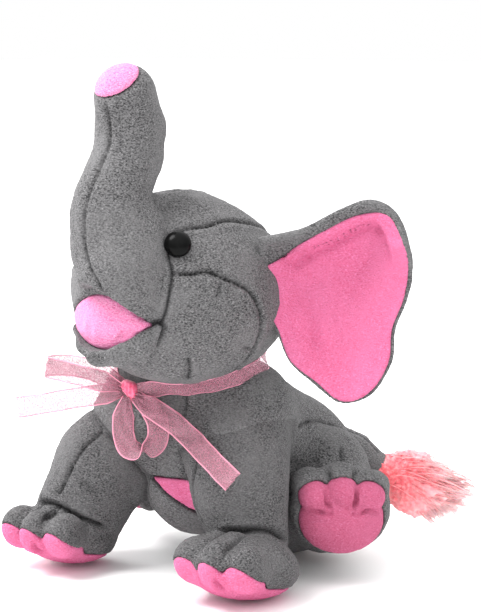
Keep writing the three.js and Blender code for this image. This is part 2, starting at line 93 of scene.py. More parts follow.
def joined(fields, k):
    def field(p):
        value = fields[0](p)
        for other in fields[1:]:
            value = smooth_min(value, other(p), k)
        return value

    return field


def limb(stations, k=5):
    return joined([cone(a, b) for a, b in zip(stations, stations[1:])], k)


def within(form, region, k=1.0):
    """The part of a form that lies in a region, with a rounded edge."""
    return lambda p: -smooth_min(-form(p), -region(p), k)


def without(form, region, k=1.0):
    return lambda p: -smooth_min(-form(p), region(p), k)


def grown(form, by):
    return lambda p: form(p) - by


def beyond(point, normal):
    """The half of space behind a plane: negative on the side that the normal points away from."""
    point, normal = np.float32(point), np.float32(normal) / np.linalg.norm(normal)
    return lambda p: (p - point) @ normal


def turn_z(degrees):
    c, s = math.cos(math.radians(degrees)), math.sin(math.radians(degrees))
    return np.float32([[c, -s, 0], [s, c, 0], [0, 0, 1]])


def turn_x(degrees):
    c, s = math.cos(math.radians(degrees)), math.sin(math.radians(degrees))
    return np.float32([[1, 0, 0], [0, c, -s], [0, s, c]])


above_floor = beyond((0, 0, 0), (0, 0, -1))

# ---- forms ----
torso_form = joined(
    [
        ellipsoid((0, 2, 39), (44, 37, 40)),
        ellipsoid((0, -22, 60), (37, 29, 34)),
        ellipsoid((0, -42, 78), (30, 23, 24)),
        ellipsoid((-21, -59, 79), (24, 22, 24)),
        ellipsoid((6, -50, 78), (20, 17, 20)),
        ellipsoid((-8, -42, 41), (25, 25, 25)),
    ],
    12,
)

LEGS = {
    "left": {
        "stations": [(20, -40, 80, 21), (27.5, -55.5, 61, 23.3), (31.7, -57.5, 46, 21.4),
                     (39, -59, 23, 17.5)],
        "paw": (45, -71.5, 15),
        "paw_radii": (25, 28, 15.5),
        "yaw": 4,
        "split": ((0, -57, 60), (-0.40, 0.0, 1.0)),
    },
    "right": {
        "stations": [(-29, -52, 78, 20), (-44.5, -69.5, 48, 23.2), (-52.5, -79, 24, 21.5)],
        "paw": (-55.5, -84.5, 15),
        "paw_radii": (24, 24, 14.5),
        "yaw": 0,
        "split": ((-25, -74, 57), (0.50, 0.55, 0.67)),
    },
}
PAW_TILT = -12
TOES = [(-12, 18, 9.5), (3, 21, 7.5), (16, 17, 8.5)]  # across, ahead, half width


def toe_gaps():
    """Where two neighbouring toes meet: how far across the paw, and how far ahead."""
    for (a, ahead_a, wide_a), (b, ahead_b, wide_b) in zip(TOES, TOES[1:]):
        yield (a + wide_a + b - wide_b) / 2, (ahead_a + ahead_b) / 2


def paw_axes(leg):
    return turn_z(leg["yaw"]) @ turn_x(PAW_TILT)


def paw_point(leg, across, ahead, up):
    """A point given in a front paw's own axes."""
    return np.float32(leg["paw"]) + paw_axes(leg) @ np.float32((across, -ahead, up))


def paw_form(leg):
    turn = paw_axes(leg)
    parts = [ellipsoid(np.float32(leg["paw"]), leg["paw_radii"], turn)]
    for across, ahead, width in TOES:
        parts.append(ellipsoid(paw_point(leg, across, ahead, 0.5), (width, 11, 10.5), turn))
    return joined(parts, 2.5)


def leg_form(leg):
    return joined([limb(leg["stations"]), paw_form(leg)], 1.5)


head_form = joined(
    [
        ellipsoid((0, -66, 137), (47, 49, 44)),
        ellipsoid((4, -58, 133), (45, 46, 38)),
        ellipsoid((0, -91, 123), (27, 25, 17)),
    ],
    8,
)
TRUNK = [
    (7, -104, 134, 17), (8.5, -106, 141, 19.5), (7, -106, 149, 20.8), (3, -104, 158, 21.8),
    (1.5, -105, 165, 20), (0.5, -108, 172, 17.5), (0, -107, 179, 15.8),
    (0, -102, 188, 15.2), (0, -96.5, 198, 15.2), (0, -94.5, 210, 15.2), (0, -98, 225, 14),
]
trunk_form = joined([limb(TRUNK, 2.5), ellipsoid((3, -88, 160), (14, 16, 22))], 3)


def thigh_form(side):
    return joined(
        [
            ellipsoid((31 * side, 3, 35), (24, 24, 31)),
            cone((34 * side, -2, 31, 20), (51 * side, -11, 35, 17)),
        ],
        8,
    )


def foot_turn(side):
    """How far each hind foot points out from straight ahead."""
    return turn_z(45 if side > 0 else -60)


def foot_centre(side):
    return np.float32((61 * side, -21, 34))


def foot_form(side):
    turn = foot_turn(side)
    centre = foot_centre(side)
    parts = [ellipsoid(centre, (23.5, 10.5, 20.8), turn)]
    for across, up in ((-14.5, 12.5), (0, 15), (14.5, 11.5)):
        bump = centre + turn @ np.float32((across, 0, up))
        parts.append(ellipsoid(bump, (8.4, 9.5, 7.2), turn))
    return joined(parts, 2.5)


TAIL = [(4, 35, 53, 8.5), (15, 47, 44, 7.6), (27, 59, 33, 6.4)]
tail_form = limb(TAIL, 5)

# ---- from a form to a net of quads ----
BLOCK = 4  # fine grid nodes along a side of a coarse block
BATCH = 4000  # blocks or points worked out at a time, to spare memory


def sample(form, low, high, step):
    """The form on a grid, worked out only in the blocks that its surface may cross."""
    low = np.float32(low)
    counts = np.ceil((np.float32(high) - low) / (step * BLOCK)).astype(int)
    middle = [low[i] + (np.arange(counts[i]) * BLOCK + (BLOCK - 1) / 2) * step for i in range(3)]
    coarse = form(np.stack(np.meshgrid(*middle, indexing="ij"), -1).astype(np.float32))
    values = coarse.repeat(BLOCK, 0).repeat(BLOCK, 1).repeat(BLOCK, 2)
    blocks = np.argwhere(np.abs(coarse) < 1.6 * BLOCK * step)
    inner = np.stack(np.meshgrid(*[np.arange(BLOCK)] * 3, indexing="ij"), -1).reshape(-1, 3)
    for some in np.array_split(blocks, len(blocks) // BATCH + 1):
        nodes = (some[:, None] * BLOCK + inner).reshape(-1, 3)
        values[tuple(nodes.T)] = form((low + nodes * step).astype(np.float32))
    return values


CORNERS = np.array([(i, j, k) for i in (0, 1) for j in (0, 1) for k in (0, 1)])
EDGES = [
    (a, b) for a in range(8) for b in range(a + 1, 8) if np.abs(CORNERS[a] - CORNERS[b]).sum() == 1
]


def net(form, low, high, step):
    """Points and outward quads round the form's zero level, by surface nets."""
    values = sample(form, low, high, step)
    inside = values < 0
    size = np.array(values.shape) - 1
    cut = [tuple(slice(c, c + n) for c, n in zip(corner, size)) for corner in CORNERS]
    count = sum(inside[part].astype(np.int8) for part in cut)
    crossed = (count > 0) & (count < 8)
    cells = np.argwhere(crossed)
    number = np.full(tuple(size), -1)
    number[crossed] = np.arange(len(cells))
    at_corner = np.stack([values[part][crossed] for part in cut], 1)
    total, hits = np.zeros((len(cells), 3)), np.zeros(len(cells))
    for a, b in EDGES:
        va, vb = at_corner[:, a], at_corner[:, b]
        hit = (va < 0) != (vb < 0)
        share = np.where(hit, va / np.where(hit, va - vb, 1), 0)
        total += hit[:, None] * (CORNERS[a] + share[:, None] * (CORNERS[b] - CORNERS[a]))
        hits += hit
    points = np.float32(low) + (cells + total / hits[:, None]) * step
    quads = []
    for axis in range(3):
        ahead = np.eye(3, dtype=int)[axis]
        up, over = np.eye(3, dtype=int)[(axis + 1) % 3], np.eye(3, dtype=int)[(axis + 2) % 3]
        here = inside[tuple(slice(1, n) for n in size)]
        there = inside[tuple(slice(1 + s, n + s) for n, s in zip(size, ahead))]
        nodes = np.argwhere(here != there) + 1
        quad = np.stack([number[tuple((nodes - d).T)] for d in (up + over, over, 0 * up, up)], 1)
        leaving = here[tuple((nodes - 1).T)]
        quads.append(np.where(leaving[:, None], quad, quad[:, ::-1]))
    return points, np.concatenate(quads)


def slope(form, points, step=0.25):
    nudges = np.eye(3, dtype=np.float32) * step
    return np.stack([form(points + n) - form(points - n) for n in nudges], 1) / (2 * step)


def onto(form, points, rounds=2, reach=2.0):
    """The points moved onto the form's surface, and the normals there."""
    points = points.astype(np.float32)
    for _ in range(rounds):
        rise = slope(form, points)
        pull = form(points) / np.maximum((rise**2).sum(1), 0.05)
        points = points - np.clip(pull, -reach, reach)[:, None] * rise
    rise = slope(form, points)
    return points, rise / np.maximum(np.linalg.norm(rise, axis=1), 1e-6)[:, None]


def evened(points, quads, rounds):
    """Each point drawn towards the middle of its neighbours, so that the quads are even."""
    pairs = np.concatenate([quads[:, [i, (i + 1) % 4]] for i in range(4)])
    count = np.bincount(pairs[:, 0], minlength=len(points))
    for _ in range(rounds):
        mean = [np.bincount(pairs[:, 0], points[pairs[:, 1], i], len(points)) for i in range(3)]
        points = 0.4 * points + 0.6 * np.stack(mean, 1) / np.maximum(count, 1)[:, None]
    return points


# ---- skins, and what presses them ----
class Skin:
    """A net round a form, with how far each point is pushed out and how dark it is marked: dark stitches
    along seams, and painted shade in creases, dimples and where pieces meet.
    """

    def __init__(self, form, low, high, step):
        self.form = form
        points, quads = net(form, low, high, step * COARSE)
        points = evened(points, quads, 3)
        self.points, self.normals = onto(form, points)
        self.quads = quads
        self.push = np.zeros(len(self.points))
        self.seam = np.zeros(len(self.points))

    def near(self, route, reach):
        """Which points lie within reach of a route, how far off each is, and how far along."""
        dense = smooth_route(route)
        dense, _ = onto(self.form, dense, 3)
        run = np.concatenate([[0], np.linalg.norm(np.diff(dense, axis=0), axis=1).cumsum()])
        box = (self.points > dense.min(0) - reach) & (self.points < dense.max(0) + reach)
        some = np.flatnonzero(box.all(1))
        off, along = np.empty(len(some)), np.empty(len(some))
        for part in np.array_split(np.arange(len(some)), len(some) // BATCH + 1):
            gaps = np.linalg.norm(self.points[some[part], None] - dense, axis=2)
            nearest = gaps.argmin(1)
            off[part], along[part] = gaps[np.arange(len(part)), nearest], run[nearest]
        close = off < reach
        return some[close], off[close], along[close], run[-1]

    def sew(self, route, depth=1.0, width=0.85, swell=0.4, pitch=2.4, dark=0.95):
        """A sewn join: a stitched groove whose cloth swells on both sides, with dark stitches along it."""
        at, off, along, length = self.near(route, 9)
        ends = np.clip(np.minimum(along, length - along) / 3, 0, 1)
        tuck = np.exp(-((off / width) ** 2))
        wander = grain(self.points[at] / 2.6, 21)
        stitch = np.clip(0.75 + 0.25 * np.cos(2 * math.pi * along / pitch) + 0.3 * wander, 0, 1)
        bulge = np.exp(-(((off - 3.2) / 2.0) ** 2)) * (1 + 0.7 * wander)
        self.push[at] += ends * (swell * bulge - 1.35 * depth * tuck * stitch)
        self.seam[at] = np.maximum(self.seam[at], ends * dark * np.exp(-((off / 0.85) ** 2)) * stitch)

    def fold(self, route, depth=1.0, width=2.0, swell=0.4, dark=0.0, fade=0.3, spread=0.8):
        """A soft crease that fades out at its ends; dark paints shade into it."""
        at, off, along, length = self.near(route, max(4 * width, 3 * spread))
        ends = np.clip(np.minimum(along, length - along) / (fade * length + 0.5), 0, 1)
        tuck = np.exp(-((off / width) ** 2))
        bulge = np.exp(-(((off - 2 * width) / width) ** 2))
        self.push[at] += ends * (swell * bulge - depth * tuck)
        self.seam[at] = np.maximum(self.seam[at], ends * dark * np.exp(-((off / spread) ** 2)))

    def pinch(self, region, depth, width, dark, end_x=None):
        """A crease along the edge of a region, where two pieces meet; it fades out towards end_x, and dark
        paints shade along it.
        """
        off = np.abs(region(self.points))
        share = 1.0 if end_x is None else np.clip((end_x - self.points[:, 0]) / 10, 0, 1)
        self.push -= share * depth * np.exp(-((off / width) ** 2))
        self.seam = np.maximum(self.seam, share * dark * np.exp(-((off / 1.0) ** 2)))

    def dimple(self, centre, depth, width, dark=0.0):
        # dark paints shade into the middle of the dimple
        off = np.linalg.norm(self.points - np.float32(centre), axis=1)
        self.push -= depth * np.exp(-((off / width) ** 2))
        self.seam = np.maximum(self.seam, dark * np.exp(-((off / 1.0) ** 2)))

    def lump(self, size, height, seed):
        self.push += height * grain(self.points / size, seed)

    def place(self):
        return self.points + self.normals * self.push[:, None]


def smooth_route(route, spacing=0.5):
    """A curve through a few points, as close samples."""
    route = np.float32(route)
    if len(route) == 2:
        count = int(np.linalg.norm(route[1] - route[0]) / spacing) + 2
        return route[0] + np.linspace(0, 1, count)[:, None] * (route[1] - route[0])
    ends = np.vstack([2 * route[0] - route[1], route, 2 * route[-1] - route[-2]])
    samples = []
    for a, b, c, d in zip(ends, ends[1:], ends[2:], ends[3:]):
        t = np.linspace(0, 1, int(np.linalg.norm(c - b) / spacing) + 2, endpoint=False)[:, None]
        square, cube = 2 * a - 5 * b + 4 * c - d, 3 * b - a - 3 * c + d
        samples.append(0.5 * (2 * b + (c - a) * t + square * t**2 + cube * t**3))
    return np.vstack([*samples, route[-1:]])


def chance(cell, seed):
    """A repeatable value from 0 to 1 for each whole-numbered cell."""
    x, y, z = (cell[..., i].astype(np.int64) for i in range(3))
    mixed = (x * 73856093) ^ (y * 19349663) ^ (z * 83492791) ^ (seed * 2654435761)
    mixed = ((mixed ^ (mixed >> 13)) * 1274126177) & 0xFFFFFFFF
    return (mixed ^ (mixed >> 16)) % 65536 / 65535.0


def grain(p, seed):
    """Smooth random lumps from -1 to 1, one unit across."""
    base = np.floor(p)
    part = p - base
    part = part * part * (3 - 2 * part)
    total = 0
    for corner in CORNERS:
        weight = np.prod(np.where(corner, part, 1 - part), axis=-1)
        total = total + weight * chance(base + corner, seed)
    return total * 2 - 1


# ---- materials ----
def linear(red, green, blue):
    """A colour given as it looks on a screen, 0 to 255."""
    shares = [c / 255 for c in (red, green, blue)]
    return tuple(c / 12.92 if c < 0.0404 else ((c + 0.055) / 1.055) ** 2.4 for c in shares)


class Recipe:
    """A node material under construction."""

    def __init__(self, name):
        self.material = bpy.data.materials.new(name)
        self.material.use_nodes = True
        self.nodes = self.material.node_tree.nodes
        self.links = self.material.node_tree.links
        self.shader = self.nodes["Principled BSDF"]
        self.output = self.nodes["Material Output"]

    def add(self, kind, **settings):
        node = self.nodes.new(kind)
        for key, value in settings.items():
            if key in node.inputs:
                node.inputs[key].default_value = value
            else:
                setattr(node, key, value)
        return node

    def link(self, start, end):
        self.links.new(start, end)

    def place_on(self, stretch=(1.0, 1.0, 1.0)):
        """Object coordinates, stretched so that marks run along the nap."""
        coordinates = self.add("ShaderNodeTexCoord")
        mapping = self.add("ShaderNodeMapping", Scale=stretch)
        self.link(coordinates.outputs["Object"], mapping.inputs["Vector"])
        return mapping.outputs["Vector"]

    def noise(self, place, scale, detail=3.0, rough=0.55):
        node = self.add("ShaderNodeTexNoise", Scale=scale, Detail=detail, Roughness=rough)
        self.link(place, node.inputs["Vector"])
        return node.outputs["Fac"]

    def ramp(self, value, stops):
        node = self.add("ShaderNodeValToRGB")
        elements = node.color_ramp.elements
        while len(elements) < len(stops):
            elements.new(0.5)
        for element, (position, colour) in zip(elements, stops):
            element.position = position
            element.color = (*colour, 1)
        self.link(value, node.inputs["Fac"])
        return node.outputs["Color"]

    def mix(self, share, first, second, how="MIX"):
        node = self.add("ShaderNodeMix", data_type="RGBA", blend_type=how)
        for socket, value in ((node.inputs[0], share), (node.inputs[6], first), (node.inputs[7], second)):
            if isinstance(value, bpy.types.NodeSocket):
                self.link(value, socket)
            else:
                socket.default_value = value if isinstance(value, float) else (*value, 1)
        return node.outputs[2]

    def marked(self, attribute):
        return self.add("ShaderNodeAttribute", attribute_name=attribute).outputs["Fac"]

    def bump(self, height, strength, distance, onto_normal=None):
        node = self.add("ShaderNodeBump", Strength=strength, Distance=distance)
        self.link(height, node.inputs["Height"])
        if onto_normal is not None:
            self.link(onto_normal, node.inputs["Normal"])
        return node.outputs["Normal"]

    def finish(self, colour, normal=None, **settings):
        """The finished material; a setting is named as the shader's own socket, with _ for a space."""
        self.link(colour, self.shader.inputs["Base Color"])
        if normal is not None:
            self.link(normal, self.shader.inputs["Normal"])
        for socket, value in settings.items():
            self.shader.inputs[socket.replace("_", " ")].default_value = value
        return self.material


PILE_SCALE, SPECK_SCALE, BRUSH_SCALE = 1100.0, 1000.0, 60.0  # noise cells in a metre
PILE_DEPTH = 0.0008


def plush(name, deep, base, pale, seam, contrast, sheen=0.3):
    """Short dense pile: fine dashes where tufts part, brushed patches, a soft sheen, dark stitches at seams
    and painted shade in creases.
    """
    recipe = Recipe(name)
    deep, base, pale, seam = (linear(*tone) for tone in (deep, base, pale, seam))
    tufts = recipe.noise(recipe.place_on((1.0, 1.0, 1.6)), PILE_SCALE, 1.0, 0.5)
    specks = recipe.noise(recipe.place_on((0.8, 1.2, 1.9)), SPECK_SCALE, 1.0, 0.5)
    brushed = recipe.noise(recipe.place_on((1.0, 1.0, 0.7)), BRUSH_SCALE, 2.0, 0.5)
    body = recipe.ramp(tufts, [(0.30, deep), (0.48, base), (0.58, base), (0.74, pale)])
    gaps = recipe.ramp(specks, [(0.33, (contrast,) * 3), (0.43, (0, 0, 0))])
    cloth = recipe.mix(gaps, body, deep)
    smooth = recipe.ramp(brushed, [(0.42, (0, 0, 0)), (0.68, (0.55, 0.55, 0.55))])
    cloth = recipe.mix(smooth, cloth, recipe.mix(0.35, base, pale))
    # The marked points take the dark colour: stitches at seams, and painted shade in creases, dimples and
    # where pieces meet.
    cloth = recipe.mix(recipe.marked("seam"), cloth, seam)
    normal = recipe.bump(tufts, 0.7, PILE_DEPTH, recipe.bump(specks, 0.5, PILE_DEPTH))
    return recipe.finish(cloth, normal, Roughness=0.92, Specular_IOR_Level=0.1, Sheen_Weight=sheen,
                         Sheen_Roughness=0.4, Sheen_Tint=(*pale, 1))


def coral_material():
    recipe = Recipe("coral_pile")
    streaks = recipe.noise(recipe.place_on(), 500.0, 2.0)
    tones = [(0.0, (246, 88, 100)), (0.3, (250, 120, 130)), (0.7, (252, 178, 184)), (1.0, (254, 228, 228))]
    colour = recipe.ramp(recipe.marked("tip"), [(share, linear(*tone)) for share, tone in tones])
    light = recipe.ramp(streaks, [(0.4, (0, 0, 0)), (0.7, (0.3, 0.3, 0.3))])
    colour = recipe.mix(light, colour, (1.0, 0.75, 0.75))
    return recipe.finish(colour, Roughness=0.6, Sheen_Weight=0.3, Subsurface_Weight=0.15,
                         Subsurface_Scale=0.004)


def eye_material():
    recipe = Recipe("eye_black")
    haze = recipe.noise(recipe.place_on(), 160.0, 2.0)
    colour = recipe.ramp(haze, [(0.3, (0.002, 0.002, 0.002)), (0.8, (0.006, 0.006, 0.006))])
    return recipe.finish(colour, recipe.bump(haze, 0.05, 0.0002), Roughness=0.2, Specular_IOR_Level=0.06)


def washer_material():
    recipe = Recipe("washer_white")
    mottle = recipe.noise(recipe.place_on(), 300.0, 3.0)
    colour = recipe.ramp(mottle, [(0.3, (0.7, 0.7, 0.68)), (0.7, (0.82, 0.82, 0.8))])
    return recipe.finish(colour, recipe.bump(mottle, 0.2, 0.0002), Roughness=0.45)


def organza_material():
    """Sheer woven ribbon: clear between its threads, and solid along its woven edges."""
    recipe = Recipe("pink_organza")
    place = recipe.place_on()
    weave = recipe.noise(place, 1500.0, 2.0)
    cloud = recipe.noise(place, 120.0, 2.0)
    colour = recipe.mix(cloud, linear(160, 100, 118), linear(190, 128, 146))
    colour = recipe.mix(recipe.marked("edge"), colour, linear(248, 158, 184))
    threads = recipe.ramp(weave, [(0.35, (0.34, 0.34, 0.34)), (0.65, (0.58, 0.58, 0.58))])
    solid = recipe.mix(recipe.marked("edge"), threads, (0.95, 0.95, 0.95))
    recipe.link(solid, recipe.shader.inputs["Alpha"])
    return recipe.finish(colour, Roughness=0.5, Sheen_Weight=0.1)


def knot_material():
    recipe = Recipe("knot_pink")
    threads = recipe.noise(recipe.place_on(), 700.0, 3.0)
    colour = recipe.ramp(threads, [(0.35, linear(240, 70, 115)), (0.7, linear(255, 135, 170))])
    return recipe.finish(colour, recipe.bump(threads, 0.5, 0.0004), Roughness=0.4, Sheen_Weight=0.5)


# A finish is a material and the record's slot that it belongs to. Plush tones run deep, base, pale, and the
# dark colour of stitches at seams and of painted crease shade.
GREY = (
    plush("grey_plush", (48, 48, 49), (99, 98, 99), (130, 129, 130), (16, 16, 17), 0.9), "grey_plush",
)
# A darker copy of the grey plush for the front legs: painted shade, for the shade that falls on the lower
# legs and paws.
SHADED_GREY_LEGS = (
    plush("grey_plush_legs_shaded", (44, 44, 45), (89, 88, 89), (118, 117, 118), (15, 15, 16), 0.9), "grey_plush",
)
PINK = (
    plush("pink_plush", (188, 84, 120), (198, 100, 138), (210, 124, 164), (150, 45, 85), 0.05, 0.25),
    "pink_plush",
)
# A darker copy of the pink plush for the hind soles: painted shade, as they face away from the light.
SHADED_SOLE_PINK = (
    plush("pink_plush_sole_shaded", (166, 74, 102), (178, 88, 118), (192, 110, 144), (130, 38, 72), 0.06, 0.25),
    "pink_plush",
)
PALE_PINK = (
    plush("pink_plush_pale", (206, 100, 142), (216, 130, 170), (226, 160, 195), (170, 55, 105), 0.1, 0.3),
    "pink_plush",
)
CORAL = (coral_material(), "coral_pile")
EYE_BLACK = (eye_material(), "eye_black")
WASHER_WHITE = (washer_material(), "washer_white")
ORGANZA = (organza_material(), "pink_organza")
KNOT_PINK = (knot_material(), "pink_organza")


# ---- pieces ----
def present(name, mesh, finish, marks):
    """The object that shows a mesh; marks are named values at its points."""
    for key, values in marks.items():
        layer = mesh.attributes.new(key, "FLOAT", "POINT")
        layer.data.foreach_set("value", np.asarray(values, np.float32))
    piece = bpy.data.objects.new(name, mesh)
    bpy.context.scene.collection.objects.link(piece)
    material, slot = finish
    mesh.materials.append(material)
    return piece


def make(name, points, faces, finish, marks):
    """A piece from millimetre points and faces that all have as many corners."""
    mesh = bpy.data.meshes.new(name)
    faces = np.asarray(faces)
    mesh.vertices.add(len(points))
    mesh.vertices.foreach_set("co", (np.asarray(points, np.float64) * MM).astype(np.float32).ravel())
    mesh.loops.add(faces.size)
    mesh.loops.foreach_set("vertex_index", faces.astype(np.int32).ravel())
    mesh.polygons.add(len(faces))
    mesh.polygons.foreach_set("loop_start", np.arange(0, faces.size, faces.shape[1], dtype=np.int32))
    mesh.polygons.foreach_set("use_smooth", np.ones(len(faces), bool))
    mesh.update(calc_edges=True)
    mesh.validate()
    return present(name, mesh, finish, marks)


def make_mixed(name, points, faces, finish, marks):
    """A piece from millimetre points and faces with three or four corners."""
    mesh = bpy.data.meshes.new(name)
    mesh.from_pydata([tuple(p * MM) for p in points], [], faces)
    mesh.polygons.foreach_set("use_smooth", np.ones(len(faces), bool))
    return present(name, mesh, finish, marks)


PILE_LUMP = 0.16  # how far the pile's own fine lumps stand out


def make_skin(name, skin, finish):
    """A stuffed piece, with the pile's own fine lumps."""
    skin.lump(2.2, PILE_LUMP, 11)
    skin.lump(1.1, PILE_LUMP * 0.6, 12)
    piece = make(name, skin.place(), skin.quads, finish, {"seam": skin.seam})
    return piece


SIDES = (("left", 1), ("right", -1))

# ---- where the front legs leave the torso ----
LEG_REACH = 3.0  # the leg's skin runs this far up the chest from its own form
ARCH_END = 34.0  # the crease under the chest fades out towards the left shoulder
STUB = 9.0  # how far each piece runs on, hidden, inside its neighbour


def leg_region(leg):
    """Negative where the shared skin belongs to the leg."""
    point, normal = leg["split"]
    return within(grown(leg_form(leg), LEG_REACH), beyond(point, normal), 3)


def sunk(form, region, depth=3.2, width=5.0, start=-0.5):
    """The form, drawn in step by step as it leaves a region, and ended inside its neighbour."""
    def field(p):
        out = region(p)
        share = np.clip((out - start) / width, 0, 1)
        ramp = depth * share * share * (3 - 2 * share)
        return -smooth_min(-(form(p) + ramp), -(out - STUB), 1)

    return field


leg_forms = {label: leg_form(leg) for label, leg in LEGS.items()}


def sleeved_form(p):
    """The torso with both sleeves run into it."""
    torso = torso_form(p)
    left, right = (smooth_min(torso, form(p), 12) for form in leg_forms.values())
    return smooth_min(left, right, 4)


body_form = within(sleeved_form, above_floor, 3)


def outside_legs(p):
    return -np.minimum(leg_region(LEGS["left"])(p), leg_region(LEGS["right"])(p))


# ---- torso ----
belly_top = beyond((0, -64, 46.5), (-0.05, 0, 1))
belly_foot = beyond((-8, -66, 40.5), (-0.53, 0, -0.85))
belly_strip = within(belly_top, belly_foot, 1)
BELLY = within(ellipsoid((0, -60, 40), (24, 26, 24)), belly_strip, 1)


def build_torso():
    trunk_of_body = without(sunk(body_form, outside_legs), BELLY, 1.2)
    skin = Skin(trunk_of_body, (-64, -90, -3), (60, 48, 118), 1.15)
    skin.sew([(6, -64, 96), (8, -67, 89), (10, -69, 81), (9, -68, 72), (6, -64, 62)], depth=0.8, dark=0.7)
    skin.sew([(0, -5, 100), (0, 18, 80), (0, 34, 58), (0, 40, 36), (0, 36, 14)], depth=1.1)
    for side in (1, -1):
        skin.sew([(52 * side, -22, 58), (44 * side, -22, 70), (38 * side, -12, 72), (36 * side, 2, 70),
                  (38 * side, 16, 60)], depth=1.2)
        skin.fold([(30 * side, -44, 66), (40 * side, -34, 60), (42 * side, -24, 48)], depth=1.2, width=2.6)
    # The pinches paint shade along the creases where the legs and the belly patch meet the torso.
    skin.pinch(outside_legs, 1.3, 1.5, 0.6, ARCH_END)
    skin.pinch(BELLY, 0.5, 1.2, 0.5)
    skin.lump(16, 0.5, 1)
    piece = make_skin("torso_skin", skin, GREY)
    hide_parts("torso_shell", "torso_stuffing")
    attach(piece, "torso")
    belly_form = within(grown(body_form, -0.3), grown(BELLY, -0.2), 1.2)
    belly = Skin(belly_form, (-26, -86, 28), (24, -34, 72), 0.9)
    patch = make_skin("belly_patch", belly, PINK)
    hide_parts("belly_panel")
    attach(patch, "torso")


# ---- front legs ----
def sole_region(leg):
    """Below the seam that runs round the paw, and the under half of each toe."""
    turn = paw_axes(leg)
    below = beyond(paw_point(leg, 0, 0, -7), turn @ np.float32((0, 0, 1)))
    pads = []
    for across, ahead, width in TOES:
        pads.append(ellipsoid(paw_point(leg, across, ahead + 4, -6), (width - 0.5, 16, 8.5), turn))
    return joined([below, *pads], 1.5)


PAW_CREASES = {
    "left": [(30, -84, 24), (36, -81, 29.5), (43, -76, 31), (50, -71, 32), (55, -64, 31), (57, -56, 27),
             (56, -48, 24)],
    "right": [(-62, -96, 30), (-53, -98.5, 32.5), (-44, -98, 31), (-38, -95, 28), (-32, -88, 24),
              (-31, -81, 21)],
}
LEG_SEAMS = {
    "left": [(24, -79, 67), (25, -80, 60), (21.5, -78, 50), (22, -77, 40), (27, -77, 31)],
    "right": [(-31, -83, 69), (-34, -85, 65), (-37, -89, 61), (-41, -93, 52), (-46, -96, 41),
              (-49, -98, 35)],
}
LEG_FOLDS = {"left": [], "right": [[(-41, -87, 46), (-36, -88, 42), (-31, -84, 38)]]}
HIND_LEG_GAP = 3.6  # room for the front leg to swing back
BODY_EDGE = 99.0  # past the widest point of the body


def build_front_leg(label, leg):
    side = 1 if label == "left" else -1
    whole = sunk(body_form, leg_region(leg))
    whole = without(whole, grown(joined([thigh_form(side), foot_form(side)], 2), HIND_LEG_GAP), 2)
    region = sole_region(leg)
    x, y, _ = leg["paw"]
    low, high = (min(x - 36, 0 if side > 0 else -BODY_EDGE), y - 38, -3), (max(x + 36, 8), -24, 90)
    upper = Skin(without(whole, region, 0.9), low, high, 0.95)

    def at(across, ahead, up):
        return paw_point(leg, across, ahead, up)

    # The dark of the toe folds and dimples, the paw crease, the leg fold and the pinch is painted shade in
    # those creases.
    for gap, front in toe_gaps():
        route = [at(0.6 * gap, 6, 15), at(0.8 * gap, 13, 13.5), at(gap, front + 4, 9), at(gap, front + 8, 4)]
        upper.fold(route, depth=1.8, width=1.3, swell=0.4, dark=0.6)
        upper.dimple(at(0.6 * gap, 7, 14.5), 0.8, 2.5, dark=0.2)
    upper.fold(PAW_CREASES[label], depth=2.8, width=1.3, swell=0.7, dark=0.9, fade=0.1)
    for fold in LEG_FOLDS[label]:
        upper.fold(fold, depth=1.3, width=1.8, swell=0.6, dark=0.25)
    upper.pinch(leg_region(leg), 1.3, 1.5, 0.6, ARCH_END)
    upper.sew(LEG_SEAMS[label], depth=1.4)
    upper.lump(14, 0.5, 2 + side)
    piece = make_skin(f"front_leg_skin_{label}", upper, SHADED_GREY_LEGS)
    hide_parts(f"front_leg_shell_{label}", f"front_leg_stuffing_{label}")
    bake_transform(piece)
    pad_form = within(grown(whole, -0.1), grown(region, -0.12), 0.9)
    pads = Skin(pad_form, (x - 36, y - 40, -3), (x + 36, y + 34, 32), 0.8)
    # The dark of the folds between the toe pads is painted shade.
    for gap, front in toe_gaps():
        route = [at(gap, front + 10, -3), at(gap, front + 8, -9), at(0.9 * gap, front, -14)]
        pads.fold(route, depth=1.8, width=1.3, swell=0.5, dark=0.4)
    sole = make_skin(f"front_sole_pad_{label}", pads, PINK)
    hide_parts(f"front_sole_{label}")
    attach(sole, f"front_leg_{label}")


